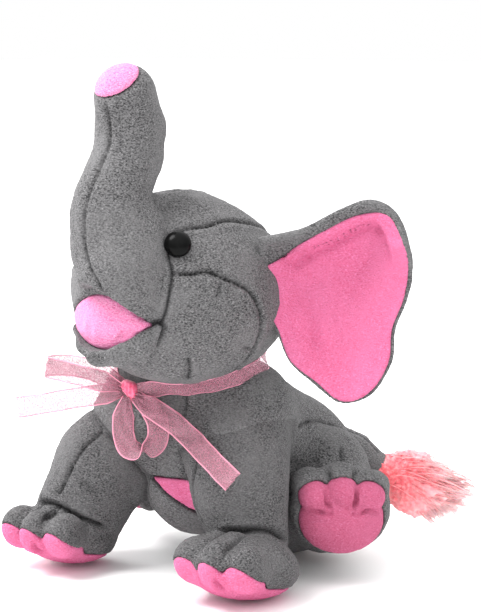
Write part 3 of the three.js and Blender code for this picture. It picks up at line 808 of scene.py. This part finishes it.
# ---- hind legs ----
def build_hind_leg(label, side):
    turn = foot_turn(side)
    centre = foot_centre(side)

    def at(across, ahead, up):
        return centre + turn @ np.float32((across * side, -ahead, up))

    pink = [ellipsoid(at(0, 4.5, -3), (19.6, 8.0, 16.6), turn)]
    for across, up in ((-13, 8), (0, 10), (13, 7.5)):
        pink.append(ellipsoid(at(0.96 * across, 6.5, up), (7.5, 7.2, 7.3), turn))
    pad_form = joined(pink, 1.0)
    grey = within(joined([thigh_form(side), foot_form(side)], 2), above_floor, 3)
    grey = without(grey, grown(pad_form, 0.2), 1.2)
    low = (min(-2 * side, 92 * side), -50, -3)
    high = (max(-2 * side, 92 * side), 34, 70)
    leg = Skin(grey, low, high, 1.05)
    # The dark of the toe creases is painted shade.
    for across in (-7, 7):
        leg.fold([at(across, 2, 20), at(across, 5, 20), at(across, 8, 18.5), at(across, 10, 15)], depth=2.0,
                 width=1.5, swell=0.4, dark=0.6)
    leg.sew([(48 * side, -2, 62), (52 * side, -8, 54), (53 * side, -6, 44)], depth=1.0)
    leg.fold([(40 * side, -16, 58), (44 * side, -20, 50), (50 * side, -22, 44)], depth=1.0, width=2.2)
    leg.lump(14, 0.5, 7 + side)
    piece = make_skin(f"hind_leg_skin_{label}", leg, GREY)
    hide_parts(f"hind_leg_shell_{label}", f"hind_leg_stuffing_{label}")
    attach(piece, f"hind_leg_{label}")
    pads = Skin(pad_form, tuple(centre - 30), tuple(centre + 30), 0.8)
    # The dark of the folds and dimples between the toe pads is painted shade.
    for across in (-5.5, 5.0):
        top = 9 if across < 0 else 11
        pads.fold([at(across * 1.5, 11, top + 4), at(across * 1.25, 12.5, top - 2), at(across, 12.5, 1.5)],
                  depth=2.0, width=1.0, swell=0.4, dark=0.4)
        pads.dimple(at(across, 11.5, 0.5), 1.0, 1.6, dark=0.6)
    for start, end in (((-18, 2), (-6, 1)), ((18, 0), (6, 0))):
        middle = at((start[0] + end[0]) / 2, 12.5, 1.5)
        pads.fold([at(start[0], 10, start[1]), middle, at(end[0], 13, end[1])],
                  depth=1.6, width=1.1, swell=0.5, dark=0.4)
    sole = make_skin(f"hind_sole_pad_{label}", pads, SHADED_SOLE_PINK)
    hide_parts(f"hind_sole_{label}")
    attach(sole, f"hind_leg_{label}")


# ---- head ----
SKULL_CENTRE = np.float32((0, -66, 137))
MOUTH_CORNER = 24.0  # half the mouth's width
MOUTH_TOP, MOUTH_LEVEL, MOUTH_FOOT = 138.0, 126.0, 113.5  # heights of its upper edge, corners, lower edge


def arc_side(edge_height):
    """Centre height and radius of the arc through both mouth corners and the edge's middle."""
    rise = abs(edge_height - MOUTH_LEVEL)
    radius = (MOUTH_CORNER**2 + rise**2) / (2 * rise)
    return edge_height - math.copysign(radius, edge_height - MOUTH_LEVEL), radius


def mouth_region(p):
    """The leaf-shaped opening, running straight back: negative inside."""
    sides = [np.hypot(p[..., 0], p[..., 2] - z) - r for z, r in map(arc_side, (MOUTH_TOP, MOUTH_FOOT))]
    return -smooth_min(-sides[0], -sides[1], 1.0)


def on_skull(azimuth, elevation, side=1, reach=50):
    """A point near the skull's skin: azimuth from straight ahead towards the side."""
    a, e = math.radians(azimuth), math.radians(elevation)
    level = math.cos(e)
    return SKULL_CENTRE + reach * np.float32((side * math.sin(a) * level, -math.cos(a) * level, math.sin(e)))


lower_lip = limb([(-24, -103, 128, 2.8), (-18, -109, 120.5, 3.4), (-9, -114, 115, 4.4), (1, -116, 112, 5.2),
                  (14, -115.5, 113, 5.4), (22, -109.5, 118, 4.8), (26, -105, 125, 2.8)], 2)
in_front = beyond((0, -98, 0), (0, 1, 0))
mouth_cut = within(mouth_region, in_front, 1.0)
face_form = without(joined([head_form, lower_lip], 1.2), mouth_cut, 1.0)
EYE_PLACE = (29.5, -95.7, 161.0)


def eye_place(side):
    return (side * EYE_PLACE[0], *EYE_PLACE[1:])


def build_head():
    skin = Skin(face_form, (-54, -128, 84), (54, -10, 188), 0.85)
    for side in (1, -1):
        for route in (
            [(36, 34), (50, 41), (68, 43), (86, 46), (107, 43), (130, 36), (148, 26)],
            [(40, 14), (52, 14), (61, 15), (70, 11), (79, 7), (86, 2), (91, -6), (95, -16), (97, -27),
             (99, -38), (100, -52)],
        ):
            skin.sew([on_skull(a, e, side) for a, e in route], depth=1.7, width=1.0)
        skin.sew([on_skull(a, e, side) for a, e in ((69, 11), (65, 0))], depth=0.9, dark=0.6)
        skin.sew([on_skull(a, e, side) for a, e in ((85, -28), (96, -30))], depth=0.9, dark=0.6)
        skin.sew([on_skull(a, e, side, 46) for a, e in ((51, -33), (54, -45), (56, -60))], depth=1.2)
        # The puckers along the mouth's lower edge get a faint painted shade in their creases.
        for step in range(9):
            x = side * (2 + 2.2 * step)
            z = 113.5 + 0.024 * x * x
            pucker = [(x, -123, z + 1.5), (x, -123, z - 2.5), (x, -119, z - 7)]
            skin.fold(pucker, depth=0.9, width=0.75, swell=0.4, dark=0.1)
    # A dark line of painted shade along the crease where the trunk meets the face, from the crown down past
    # the eye to the mouth corner.
    skin.fold([(10, -94, 173), (15, -96, 170), (23, -98, 163), (28, -100, 156), (31, -101, 148.5),
               (31, -103, 139), (29, -104, 130), (26.5, -105, 126.5), (23, -108, 125)],
              depth=1.0, width=1.4, swell=0.2, dark=0.95, fade=0.1)
    # Painted shade along the crease where the lower lip meets the head.
    skin.pinch(lambda p: lower_lip(p) - head_form(p), 1.3, 1.2, 0.9)
    skin.sew([(0, -70, 182), (0, -40, 176), (0, -20, 155), (0, -17, 130)], depth=1.1)
    for _, side in SIDES:
        skin.dimple(eye_place(side), 1.0, 8.0)
    skin.lump(18, 0.6, 3)
    piece = make_skin("head_skin", skin, GREY)
    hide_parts("head_shell", "cheek_panel_left", "cheek_panel_right", "chin_panel", "head_stuffing")
    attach(piece, "head")
    pillow = within(ellipsoid((2, -98, 125), (31, 18.5, 25)), grown(mouth_region, -0.1), 1.6)
    lining = Skin(pillow, (-30, -120, 104), (30, -92, 146), 0.8)
    lining.fold([(10, -113, 117), (14, -112, 122), (19, -108, 126)], depth=0.6, width=1.6)
    lining.fold([(-6, -114, 116), (-5, -115, 122), (-3, -115, 128)], depth=0.5, width=1.8)
    mouth = make_skin("mouth_pillow", lining, PALE_PINK)
    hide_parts("mouth_lining")
    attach(mouth, "head")


def build_trunk():
    def raised_mouth(p):
        lift = 0.3 * np.clip(-106 - p[..., 1], 0, 30)
        return mouth_region(p - np.stack([0 * lift, 0 * lift, lift], -1)) - 0.3

    mouth_room = within(raised_mouth, beyond((0, -96, 0), (0, 1, 0)), 1.0)
    tip = beyond((0, -111.5, 223.5), (0, 0.62, -0.78))
    whole = without(trunk_form, mouth_room, 2.0)
    skin = Skin(without(whole, tip, 1.5), (-34, -138, 112), (38, -66, 243), 0.9)
    skin.sew([(2, -113, 222), (3, -111, 208), (3, -113, 200), (3, -120, 188), (3, -126, 175), (3, -124, 162),
              (6, -125, 154), (10, -125, 148), (14, -123, 142), (17, -119, 137.5)],
             depth=1.0, width=0.75, swell=0.45, dark=0.8)
    skin.sew([(0, -84, 232), (0, -78, 212), (0, -80, 196), (0, -86, 184)], depth=1.1)
    skin.fold([(20, -84, 180), (17, -94, 176), (11, -90, 182)], depth=1.0, width=2.0)
    skin.lump(14, 0.45, 4)
    piece = make_skin("trunk_skin", skin, GREY)
    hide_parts("trunk_panel_left", "trunk_panel_right", "trunk_stuffing")
    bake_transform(piece)
    end = Skin(within(grown(trunk_form, -0.1), grown(tip, -0.3), 1.8), (-18, -118, 218), (18, -80, 243), 0.8)
    patch = make_skin("trunk_tip_pad", end, PALE_PINK)
    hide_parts("trunk_tip_patch")
    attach(patch, "trunk")


def lathe(name, profile, around, place, axis, finish):
    """A turned piece: profile rows are (radius, height) from one pole to the other."""
    points = [(0, 0, profile[0][1])]
    for radius, height in profile[1:-1]:
        for step in range(around):
            angle = 2 * math.pi * step / around
            points.append((radius * math.cos(angle), radius * math.sin(angle), height))
    points.append((0, 0, profile[-1][1]))
    faces = []
    for step in range(around):
        after = (step + 1) % around
        faces.append((0, 1 + after, 1 + step, 1 + step))
        for row in range(len(profile) - 3):
            first = 1 + row * around
            faces.append((first + step, first + after, first + around + after, first + around + step))
        last = 1 + (len(profile) - 3) * around
        faces.append((last + step, last + after, len(points) - 1, len(points) - 1))
    turn = np.array(Vector(axis).to_track_quat("Z", "Y").to_matrix())
    placed = np.array(points) @ turn.T + np.array(place)
    return make_mixed(name, placed, [tuple(dict.fromkeys(face)) for face in faces], finish, {})


EYE_RADIUS = 6.0
EYE_SET_BACK = 0.4  # how far the eye is pulled into its dimple


def build_eyes():
    dome = [(0.0, -5.0), (1.6, -5.0), (1.6, -0.6), (5.4, -0.6), (EYE_RADIUS, 0.0)]
    for step in range(1, 10):
        angle = math.radians(9 * step)
        dome.append((EYE_RADIUS * math.cos(angle), 0.3 + 4.2 * math.sin(angle)))
    dome.append((0.0, 4.5))
    disc = [(0.0, -6.6), (1.4, -6.6), (1.9, -6.2), (2.3, -5.4), (4.2, -5.0), (4.6, -4.6), (4.2, -4.2),
            (2.2, -4.2), (0.0, -5.2)]
    for label, side in SIDES:
        away = (side * 0.62, -0.66, 0.42)
        place = np.array(eye_place(side)) - EYE_SET_BACK * np.array(away)
        eye = lathe(f"eye_dome_{label}", dome, 40, place, away, EYE_BLACK)
        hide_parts(f"eye_{label}")
        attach(eye, "head")
        washer = lathe(f"eye_lock_washer_{label}", disc, 32, place, away, WASHER_WHITE)
        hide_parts(f"eye_washer_{label}")
        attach(washer, "head")


# ---- ears ----
EAR_ROOT = np.float32((45.5, -48, 150))
EAR_OUT = np.float32((math.cos(math.radians(25)), math.sin(math.radians(25)), 0))
EAR_FRONT = np.float32((math.sin(math.radians(25)), -math.cos(math.radians(25)), 0))
EAR_OUTLINE = [
    (-6, 12), (11, 16), (21, 20), (32, 26), (45, 30), (57, 23.5), (63, 6), (60, -13), (54.5, -28), (53, -43),
    (44.5, -57.5), (31, -62), (18, -54), (5.5, -43), (0, -28), (-6, -14),
]
LINING_OUTLINE = [
    (-6, -2), (2, 2), (12, 9), (24, 16.5), (38, 23), (51, 24.5), (58, 17.5), (61.5, 5), (58.8, -13),
    (53.3, -27.5), (51.8, -43), (43.8, -56.5), (31, -60.8), (18.8, -53), (6.8, -43), (1.2, -29), (-5, -15),
]


def outline_distance(u, v, outline):
    """Signed distance in the ear's own plane to its smooth outline, and how near the top edge is."""
    ring = smooth_route([(*point, 0) for point in outline + outline[:1]], 2.0)[:, :2]
    first, after = ring, np.roll(ring, -1, axis=0)
    best = np.full(u.shape, 1e9)
    crossings = np.zeros(u.shape, int)
    for a, b in zip(first, after):
        edge = b - a
        if not np.any(edge):
            continue
        share = np.clip(((u - a[0]) * edge[0] + (v - a[1]) * edge[1]) / (edge @ edge), 0, 1)
        best = np.minimum(best, (u - a[0] - share * edge[0]) ** 2 + (v - a[1] - share * edge[1]) ** 2)
        over = (a[1] > v) != (b[1] > v)
        crossings += over & (u < a[0] + (v - a[1]) * edge[0] / (edge[1] if edge[1] else 1e-9))
    return np.sqrt(best) * np.where(crossings % 2, -1, 1)


def ear_lift(u, v, rim):
    """How far forward the middle layer stands: cupped, with the top edge folded over into a hem."""
    top = np.clip((v + 6) / 16, 0, 1)
    hem = np.clip((rim + 13) / 5, 0, 1)
    cup = -12.0 * np.clip(-rim / 26, 0, 1) ** 0.75
    roll = 7.5 * top * hem * hem * (3 - 2 * hem)
    root = 4.0 * np.exp(-((u / 12) ** 2)) * np.clip(1 - (v + 20) ** 2 / 1600, 0, 1)
    fold = -2.4 * np.exp(-(((u - 13 - 0.25 * v) / 6) ** 2)) * np.clip((6 - v) / 20, 0, 1)
    wave = 1.6 * np.sin(v / 12 + 0.6) * np.clip(u / 50, 0, 1)
    return cup + roll + root + wave + fold + 1.5


def ear_layer(front, back, outline, rim_roll=0.0):
    """A cupped sheet between two depths about the middle layer, with its own outline."""
    def field(p):
        q = p - EAR_ROOT
        u, n, v = q @ EAR_OUT, q @ EAR_FRONT, q[..., 2]
        value = np.full(u.shape, 9.0, np.float32)
        close = (u > -14) & (u < 74) & (v > -74) & (v < 42) & (np.abs(n) < 26)
        rim = outline_distance(u[close], v[close], EAR_OUTLINE)
        edge = rim if outline is EAR_OUTLINE else outline_distance(u[close], v[close], outline)
        depth = n[close] - ear_lift(u[close], v[close], rim)
        middle, half = (front + back) / 2, (front - back) / 2
        top = np.clip((v[close] + 2) / 16, 0, 1)
        swell = rim_roll * (0.3 + top) * np.exp(-(((rim + 3) / 3) ** 2))
        value[close] = -smooth_min(-(np.abs(depth - middle) - half - swell), -edge, 2.0)
        return value

    return field


def ear_point(u, v, behind):
    """A point given in the ear's own plane: out from the root, up, and behind the plane."""
    return EAR_ROOT + u * EAR_OUT + (0, 0, v) - behind * EAR_FRONT


def mirrored(points):
    return points * np.float32((-1, 1, 1))


def build_ears():
    low, high = (32, -76, 84), (110, -2, 186)
    back = Skin(ear_layer(1.4, -2.4, EAR_OUTLINE, 1.3), low, high, 1.0)
    back.lump(12, 0.4, 5)
    front = Skin(ear_layer(3.6, 0.2, LINING_OUTLINE), low, high, 0.95)
    front.lump(11, 0.5, 6)
    # The hem fold's dark is painted shade under the folded-over hem, and the inner fold's dark is painted
    # shade in the cup.
    hem_line = [(0, -7), (12, 2), (25, 10.5), (39, 17), (51, 18.5), (57, 12)]
    front.fold([ear_point(u, v, 3) for u, v in hem_line],
               depth=1.4, width=1.7, swell=0.3, dark=0.5, spread=2.8)
    inner_fold = [(6, -6), (14, -22), (17, -38), (24, -54)]
    front.fold([ear_point(u, v, 8) for u, v in inner_fold],
               depth=1.6, width=4.5, swell=0.3, dark=0.22, spread=4.0)
    for label, side in SIDES:
        for kind, skin, finish, node in (
            ("ear_back_cloth", back, GREY, "ear_back"),
            ("ear_lining_cloth", front, PINK, "ear_lining"),
        ):
            points = skin.place() + skin.normals * (0.12 * grain(skin.points / 1.6, 13))[:, None]
            quads = skin.quads if side > 0 else skin.quads[:, ::-1]
            points = points if side > 0 else mirrored(points)
            piece = make(f"{kind}_{label}", points, quads, finish, {"seam": skin.seam})
            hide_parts(f"{node}_{label}")
            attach(piece, f"ear_{label}")


# ---- tail ----
def build_tail():
    skin = Skin(tail_form, (-8, 22, 28), (36, 68, 72), 0.8)
    skin.sew([(8, 36, 65), (18, 46, 56), (28, 54, 44)], depth=0.8)
    piece = make_skin("tail_skin", skin, GREY)
    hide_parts("tail_shell", "tail_stuffing")
    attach(piece, "tail")


TUFT_ROOT = np.array((27.0, 59.0, 33.0))
TUFT_LOCKS = 110
TUFT_STRANDS = 26
TUFT_TIPS = [  # where the clumps of pile point, from the root, and how thick they are
    ((9, 8, 15), 7.5), ((17, 15, 13), 8), ((28, 24, 1), 8), ((35, 31, -15), 7), ((31, 27, -22), 7.5),
    ((20, 18, -27), 8), ((11, 10, -27), 8), ((3, 4, -22), 7.5), ((20, 26, -6), 7), ((28, 14, -10), 7),
    ((18, 15, -15), 8),
]


def clump_line(tip, share):
    """A point along a clump: it leaves along the tail and bends towards its tip."""
    return TUFT_ROOT + TUFT_LEAVE * share * (1 - share) * 1.2 + np.array(tip) * share


TUFT_LEAVE = np.array((9.0, 9.0, -8.0))  # the way the pile leaves the end of the tail
STRAND_RINGS, STRAND_SIDES = 8, 3
LEAST_HEIGHT = 0.8  # no strand's middle comes nearer to the floor


def build_tuft_core():
    """The streaked inner mass of the pile."""
    lobes = []
    for tip, width in TUFT_TIPS:
        stations = [(*clump_line(tip, share), max(width * size, 0.9))
                    for share, size in ((0.0, 0.95), (0.2, 0.9), (0.5, 0.7), (0.78, 0.2))]
        lobes.append(limb(stations, 3))
    core_form = within(joined(lobes, 2.5), grown(above_floor, -0.5), 1)
    core = Skin(core_form, (10, 44, -2), (84, 110, 66), 0.9)
    away = core.points - np.float32(TUFT_ROOT)
    reach = np.linalg.norm(away, axis=1)
    heading = away / reach[:, None]
    core.push += 0.9 * grain(heading * 20, 31) + 0.5 * grain(heading * 50, 32) - 0.4
    shade = np.clip((reach - 8) / 30 + 0.12 * grain(heading * 20, 33), 0, 0.85)
    piece = make("tail_tuft_core", core.place(), core.quads, CORAL, {"tip": shade})
    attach(piece, "tail")


def strand_points(begin, end, bend, spread, thick):
    """The rings of a tapered strand that bows out and narrows to its tip."""
    forward = (end - begin) / np.linalg.norm(end - begin)
    side_a = np.cross(forward, (0.1, 0.2, 1.0))
    side_a /= np.linalg.norm(side_a)
    side_b = np.cross(forward, side_a)
    points = []
    for ring in range(STRAND_RINGS):
        share = ring / (STRAND_RINGS - 1)
        middle = begin + (end - begin) * share + bend * 4 * share * (1 - share)
        middle = middle + spread * 0.5 * math.sin(math.pi * share)
        middle[2] = max(middle[2], LEAST_HEIGHT)
        size = thick * (1 - share) ** 0.5 + 0.05
        for corner in range(STRAND_SIDES):
            turn = 2 * math.pi * corner / STRAND_SIDES
            points.append(middle + size * (side_a * math.cos(turn) + side_b * math.sin(turn)))
    return points


def strand_faces(base):
    """The closed faces of a strand whose first point has the number base."""
    faces = []
    for low in range(base, base + (STRAND_RINGS - 1) * STRAND_SIDES, STRAND_SIDES):
        for corner in range(STRAND_SIDES):
            after = (corner + 1) % STRAND_SIDES
            faces.append((low + corner, low + STRAND_SIDES + corner, low + STRAND_SIDES + after, low + after))
    last = base + (STRAND_RINGS - 1) * STRAND_SIDES
    return faces + [(base, base + 1, base + 2), (last, last + 2, last + 1)]


def build_tuft_pile():
    """Long combed pile: closed tapered strands that lie on the core in clumps."""
    draw = np.random.default_rng(5)
    points, faces, tips = [], [], []
    along = np.arange(STRAND_RINGS) / (STRAND_RINGS - 1)
    ends = np.array([tip for tip, _ in TUFT_TIPS], float)
    for _ in range(TUFT_LOCKS):
        share = draw.dirichlet((0.25,) * len(ends))
        heading = 1.2 * (share @ ends) + draw.normal(0, 1.2, 3)
        span = np.linalg.norm(heading)
        start = draw.uniform(-0.1, 0.45)
        root = TUFT_ROOT + TUFT_LEAVE * max(start, 0) * 0.9 + draw.normal(0, 2.2, 3)
        tip = TUFT_ROOT + heading * draw.uniform(0.8, 1.08)
        tip[2] = max(tip[2], 1.0)
        bend = draw.normal(0, 1.6, 3) + np.array((0, 0, 1.5))
        pale = np.clip(0.25 * max(start, 0) + 0.95 * along**1.5 * min(span / 26, 1), 0, 1)
        for _ in range(TUFT_STRANDS):
            spread = draw.normal(0, 1.0, 3) * 1.7
            end = tip + spread * 0.35 + (tip - root) * draw.uniform(-0.25, 0.04)
            thick = draw.uniform(0.26, 0.46)
            faces += strand_faces(len(points))
            points += strand_points(root + spread, end, bend, spread, thick)
            tips += list(np.repeat(pale, STRAND_SIDES))
    piece = make_mixed("tail_tuft_pile", points, faces, CORAL, {"tip": tips})
    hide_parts("tail_tuft")
    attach(piece, "tail")


# ---- ribbon ----
RIBBON_WIDTH = 10.0
RIBBON_THICKNESS = 0.25
RIBBON_COLUMNS = 13  # points across
GATHER_RUN = 9.0  # a gathered end opens to the full width over this length
CALM_RUN = 4  # samples on each side that the hugging band's line is averaged over


def ribbon(name, route, across, node, crinkle=0.8, pinch=(1.0, 1.0), seed=1,
           hug=None):
    """A sheer strip along a route, gathered to pinch times its width at its ends."""
    line = smooth_route(route, 0.9)
    run = np.concatenate([[0], np.linalg.norm(np.diff(line, axis=0), axis=1).cumsum()])
    ahead = np.gradient(line, axis=0)
    ahead /= np.linalg.norm(ahead, axis=1)[:, None]
    across = np.float32(across)
    if across.ndim == 1:
        across = np.repeat(across[None], len(line), 0)
    else:
        stops = np.linspace(0, 1, len(across))
        across = np.stack([np.interp(run / run[-1], stops, across[:, i]) for i in range(3)], 1)
    wide = across - (across * ahead).sum(1)[:, None] * ahead
    wide /= np.linalg.norm(wide, axis=1)[:, None]
    if hug is not None:
        line, out = onto(hug, line, 4, 6.0)
        calm = np.ones(2 * CALM_RUN + 1) / (2 * CALM_RUN + 1)
        for moved in (line, out):
            for axis in range(3):
                moved[CALM_RUN:-CALM_RUN, axis] = np.convolve(moved[:, axis], calm, "valid")
        ahead = np.gradient(line, axis=0)
        wide = np.cross(ahead, out)
        wide *= np.sign(wide[:, 2:]) / np.linalg.norm(wide, axis=1)[:, None]
    face = np.cross(ahead, wide)
    first = pinch[0] + (1 - pinch[0]) * np.clip(run / GATHER_RUN, 0, 1)
    last = pinch[1] + (1 - pinch[1]) * np.clip((run[-1] - run) / GATHER_RUN, 0, 1)
    gather = np.minimum(np.minimum(1.0, first), last)
    t = np.linspace(-0.5, 0.5, RIBBON_COLUMNS)
    rows = line[:, None] + wide[:, None] * (t[None, :, None] * RIBBON_WIDTH * gather[:, None, None])
    pleat = (1 - gather)[:, None] * 1.6 * np.sin(t[None] * 20)
    cloth = np.stack(np.broadcast_arrays(run[:, None] / 6, t[None] * 2.2, 0.0 * rows[..., 0]), -1)
    wave = crinkle * grain(cloth, seed)
    flute = 0.4 * crinkle * np.sin(run[:, None] / 2.3 + 3 * np.sin(t[None] * 5 + seed))
    rows = rows + face[:, None] * (wave + flute + pleat)[..., None]
    if hug is not None:
        flat, out = onto(hug, rows.reshape(-1, 3), 4, 6.0)
        lain = (flat + out * (0.3 + 0.25 * (wave + flute)).reshape(-1, 1)).reshape(rows.shape)
        rows = 0.6 * lain + 0.4 * rows
    up = np.cross(np.gradient(rows, axis=0), np.gradient(rows, axis=1))
    up /= np.maximum(np.linalg.norm(up, axis=2), 1e-9)[..., None]
    count = len(line) * RIBBON_COLUMNS
    index = np.arange(count).reshape(len(line), RIBBON_COLUMNS)
    faces = np.stack([index[:-1, :-1], index[1:, :-1], index[1:, 1:], index[:-1, 1:]], -1).reshape(-1, 4)
    rim = np.concatenate([index[:-1, 0], index[-1, :-1], index[:0:-1, -1], index[0, :0:-1]])
    wall = np.stack([rim, np.roll(rim, -1), np.roll(rim, -1) + count, rim + count], 1)
    half = RIBBON_THICKNESS / 2
    points = np.concatenate([(rows + up * half).reshape(-1, 3), (rows - up * half).reshape(-1, 3)])
    quads = np.concatenate([faces, faces[:, ::-1] + count, wall[:, ::-1]])
    edge = np.clip((np.abs(t) - 0.44) / 0.04, 0, 1)
    edge = np.tile(np.repeat(edge[None], len(line), 0).reshape(-1), 2)
    piece = make(name, points, quads, ORGANZA, {"edge": edge})
    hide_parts(node)
    if hug is None:
        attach(piece, "torso")
    else:  # the band is squeezed between chest and chin and follows both
        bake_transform(piece)
    return piece


def build_ribbon():
    knot_parts = joined(
        [
            ellipsoid((-17, -79, 89), (4.0, 3.4, 3.6)),
            ellipsoid((-15, -80, 87), (2.8, 2.6, 2.9)),
            ellipsoid((-19, -80, 90.5), (2.8, 2.6, 2.7)),
        ],
        1.2,
    )
    knot = Skin(knot_parts, (-28, -88, 78), (-8, -66, 100), 0.5)
    for lean in (-3.0, -1.0, 1.2, 3.2):
        crease = [(-17 + lean, -83, 94), (-17 + 1.3 * lean, -84, 89), (-17 + lean, -83, 84)]
        knot.fold(crease, depth=0.7, width=0.6)
    solid = {"edge": np.ones(len(knot.points))}
    piece = make("ribbon_knot_wrap", knot.place(), knot.quads, KNOT_PINK, solid)
    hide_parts("ribbon_knot")
    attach(piece, "torso")
    upright = (0, 0, 1)
    ribbon(
        "ribbon_collar_band",
        [(-13, -78, 89.5), (-3, -76, 90.5), (9, -71, 92), (19, -66, 94), (27, -58, 96.5), (30, -47, 100),
         (30, -33, 103), (25, -20, 105), (16, -10, 105), (-1, -8, 106), (-20, -12, 105), (-34, -24, 101),
         (-40, -42, 96), (-37, -62, 91), (-25, -76, 89)],
        upright, "ribbon_collar", crinkle=0.5, pinch=(0.45, 0.45),
        hug=grown(joined([sleeved_form, head_form], 9), 0.3),
    )
    ribbon(
        "ribbon_loop_wide",
        [(-20, -82, 89.5), (-27.5, -91, 93.5), (-38, -100, 97), (-46, -104.5, 99), (-44, -98, 99.5),
         (-34, -89, 97.5), (-21, -80, 91)],
        upright, "ribbon_loop_right", crinkle=0.9, pinch=(0.35, 0.35), seed=2,
    )
    ribbon(
        "ribbon_loop_hanging",
        [(-16, -83, 86), (-17, -84, 77), (-17, -84, 68), (-13, -84, 62), (-6, -80, 61.5), (-2, -77, 67),
         (-3, -77, 77), (-11, -80, 87)],
        (0.74, 0.67, 0.1), "ribbon_loop_left", crinkle=0.9, pinch=(0.35, 0.35), seed=3,
    )
    ribbon(
        "ribbon_tail_wide",
        [(-19, -81, 88), (-29, -89.5, 86), (-39, -98.5, 84), (-49, -107.5, 81.5), (-56.5, -114, 80)],
        upright, "ribbon_tail_right", crinkle=0.8, pinch=(0.4, 1.0), seed=4,
    )
    ribbon(
        "ribbon_tail_long",
        [(-13, -81, 86), (-3, -80, 82), (11, -80, 77), (26, -82, 70.5), (41, -85, 63.5), (53, -86, 57)],
        (-0.44, -0.39, -0.8), "ribbon_tail_left", crinkle=0.8, pinch=(0.4, 1.0), seed=5,
    )


# ---- floor, light and camera ----
LIT_PLACE = Vector((0, -0.03, 0.11))  # the lamps point here


def build_stage():
    recipe = Recipe("floor_white")
    dust = recipe.noise(recipe.place_on(), 3.0, 2.0)
    colour = recipe.ramp(dust, [(0.2, (0.89, 0.89, 0.89)), (0.8, (0.92, 0.92, 0.92))])
    recipe.finish(colour, Roughness=0.8)
    bpy.ops.mesh.primitive_plane_add(size=30, location=(0, 0, -0.0006))  # just clear of the paws
    floor = bpy.context.active_object
    floor.name = "floor"
    floor.data.materials.append(recipe.material)
    world = bpy.data.worlds.new("studio")
    world.use_nodes = True
    nodes, links = world.node_tree.nodes, world.node_tree.links
    height = nodes.new("ShaderNodeSeparateXYZ")
    links.new(nodes.new("ShaderNodeTexCoord").outputs["Generated"], height.inputs["Vector"])
    sky = nodes.new("ShaderNodeMapRange")  # white at the horizon, brighter overhead
    for name, value in (("From Min", 0.25), ("From Max", 1.0), ("To Min", 1.0), ("To Max", 2.4)):
        sky.inputs[name].default_value = value
    links.new(height.outputs["Z"], sky.inputs["Value"])
    links.new(sky.outputs["Result"], nodes["Background"].inputs["Strength"])
    nodes["Background"].inputs["Color"].default_value = (1, 1, 1, 1)
    bpy.context.scene.world = world
    for name, place, size, power in (
        ("key", (-0.45, -0.75, 1.45), 0.8, 34.0),
        ("side", (-1.3, 0.1, 0.6), 0.7, 13.0),
    ):
        light = bpy.data.lights.new(name, "AREA")
        light.size = size
        light.energy = power
        lamp = bpy.data.objects.new(name, light)
        lamp.location = place
        lamp.rotation_euler = (LIT_PLACE - Vector(place)).to_track_quat("-Z", "Y").to_euler()
        bpy.context.scene.collection.objects.link(lamp)
    bpy.context.scene.view_settings.view_transform = "Standard"


VIEW_AZIMUTH, VIEW_ELEVATION, VIEW_DISTANCE = 42.0, 8.0, 0.9
VIEW_TARGET = Vector((0.008, -0.031, 0.125))
LENS = 112.6


def build_camera():
    a, e = math.radians(VIEW_AZIMUTH), math.radians(VIEW_ELEVATION)
    back = Vector((math.sin(a) * math.cos(e), -math.cos(a) * math.cos(e), math.sin(e)))
    camera = bpy.data.cameras.new("camera")
    camera.lens = LENS
    camera.sensor_width = 36
    camera.clip_start = 0.01
    camera.clip_end = 100
    holder = bpy.data.objects.new("camera", camera)
    holder.location = VIEW_TARGET + back * VIEW_DISTANCE
    holder.rotation_euler = (-back).to_track_quat("-Z", "Y").to_euler()
    bpy.context.scene.collection.objects.link(holder)
    bpy.context.scene.camera = holder


build_camera()
build_stage()
build_torso()
for label, side in SIDES:
    build_front_leg(label, LEGS[label])
    build_hind_leg(label, side)
build_head()
build_trunk()
build_eyes()
build_ears()
build_tail()
build_tuft_core()
build_tuft_pile()
build_ribbon()
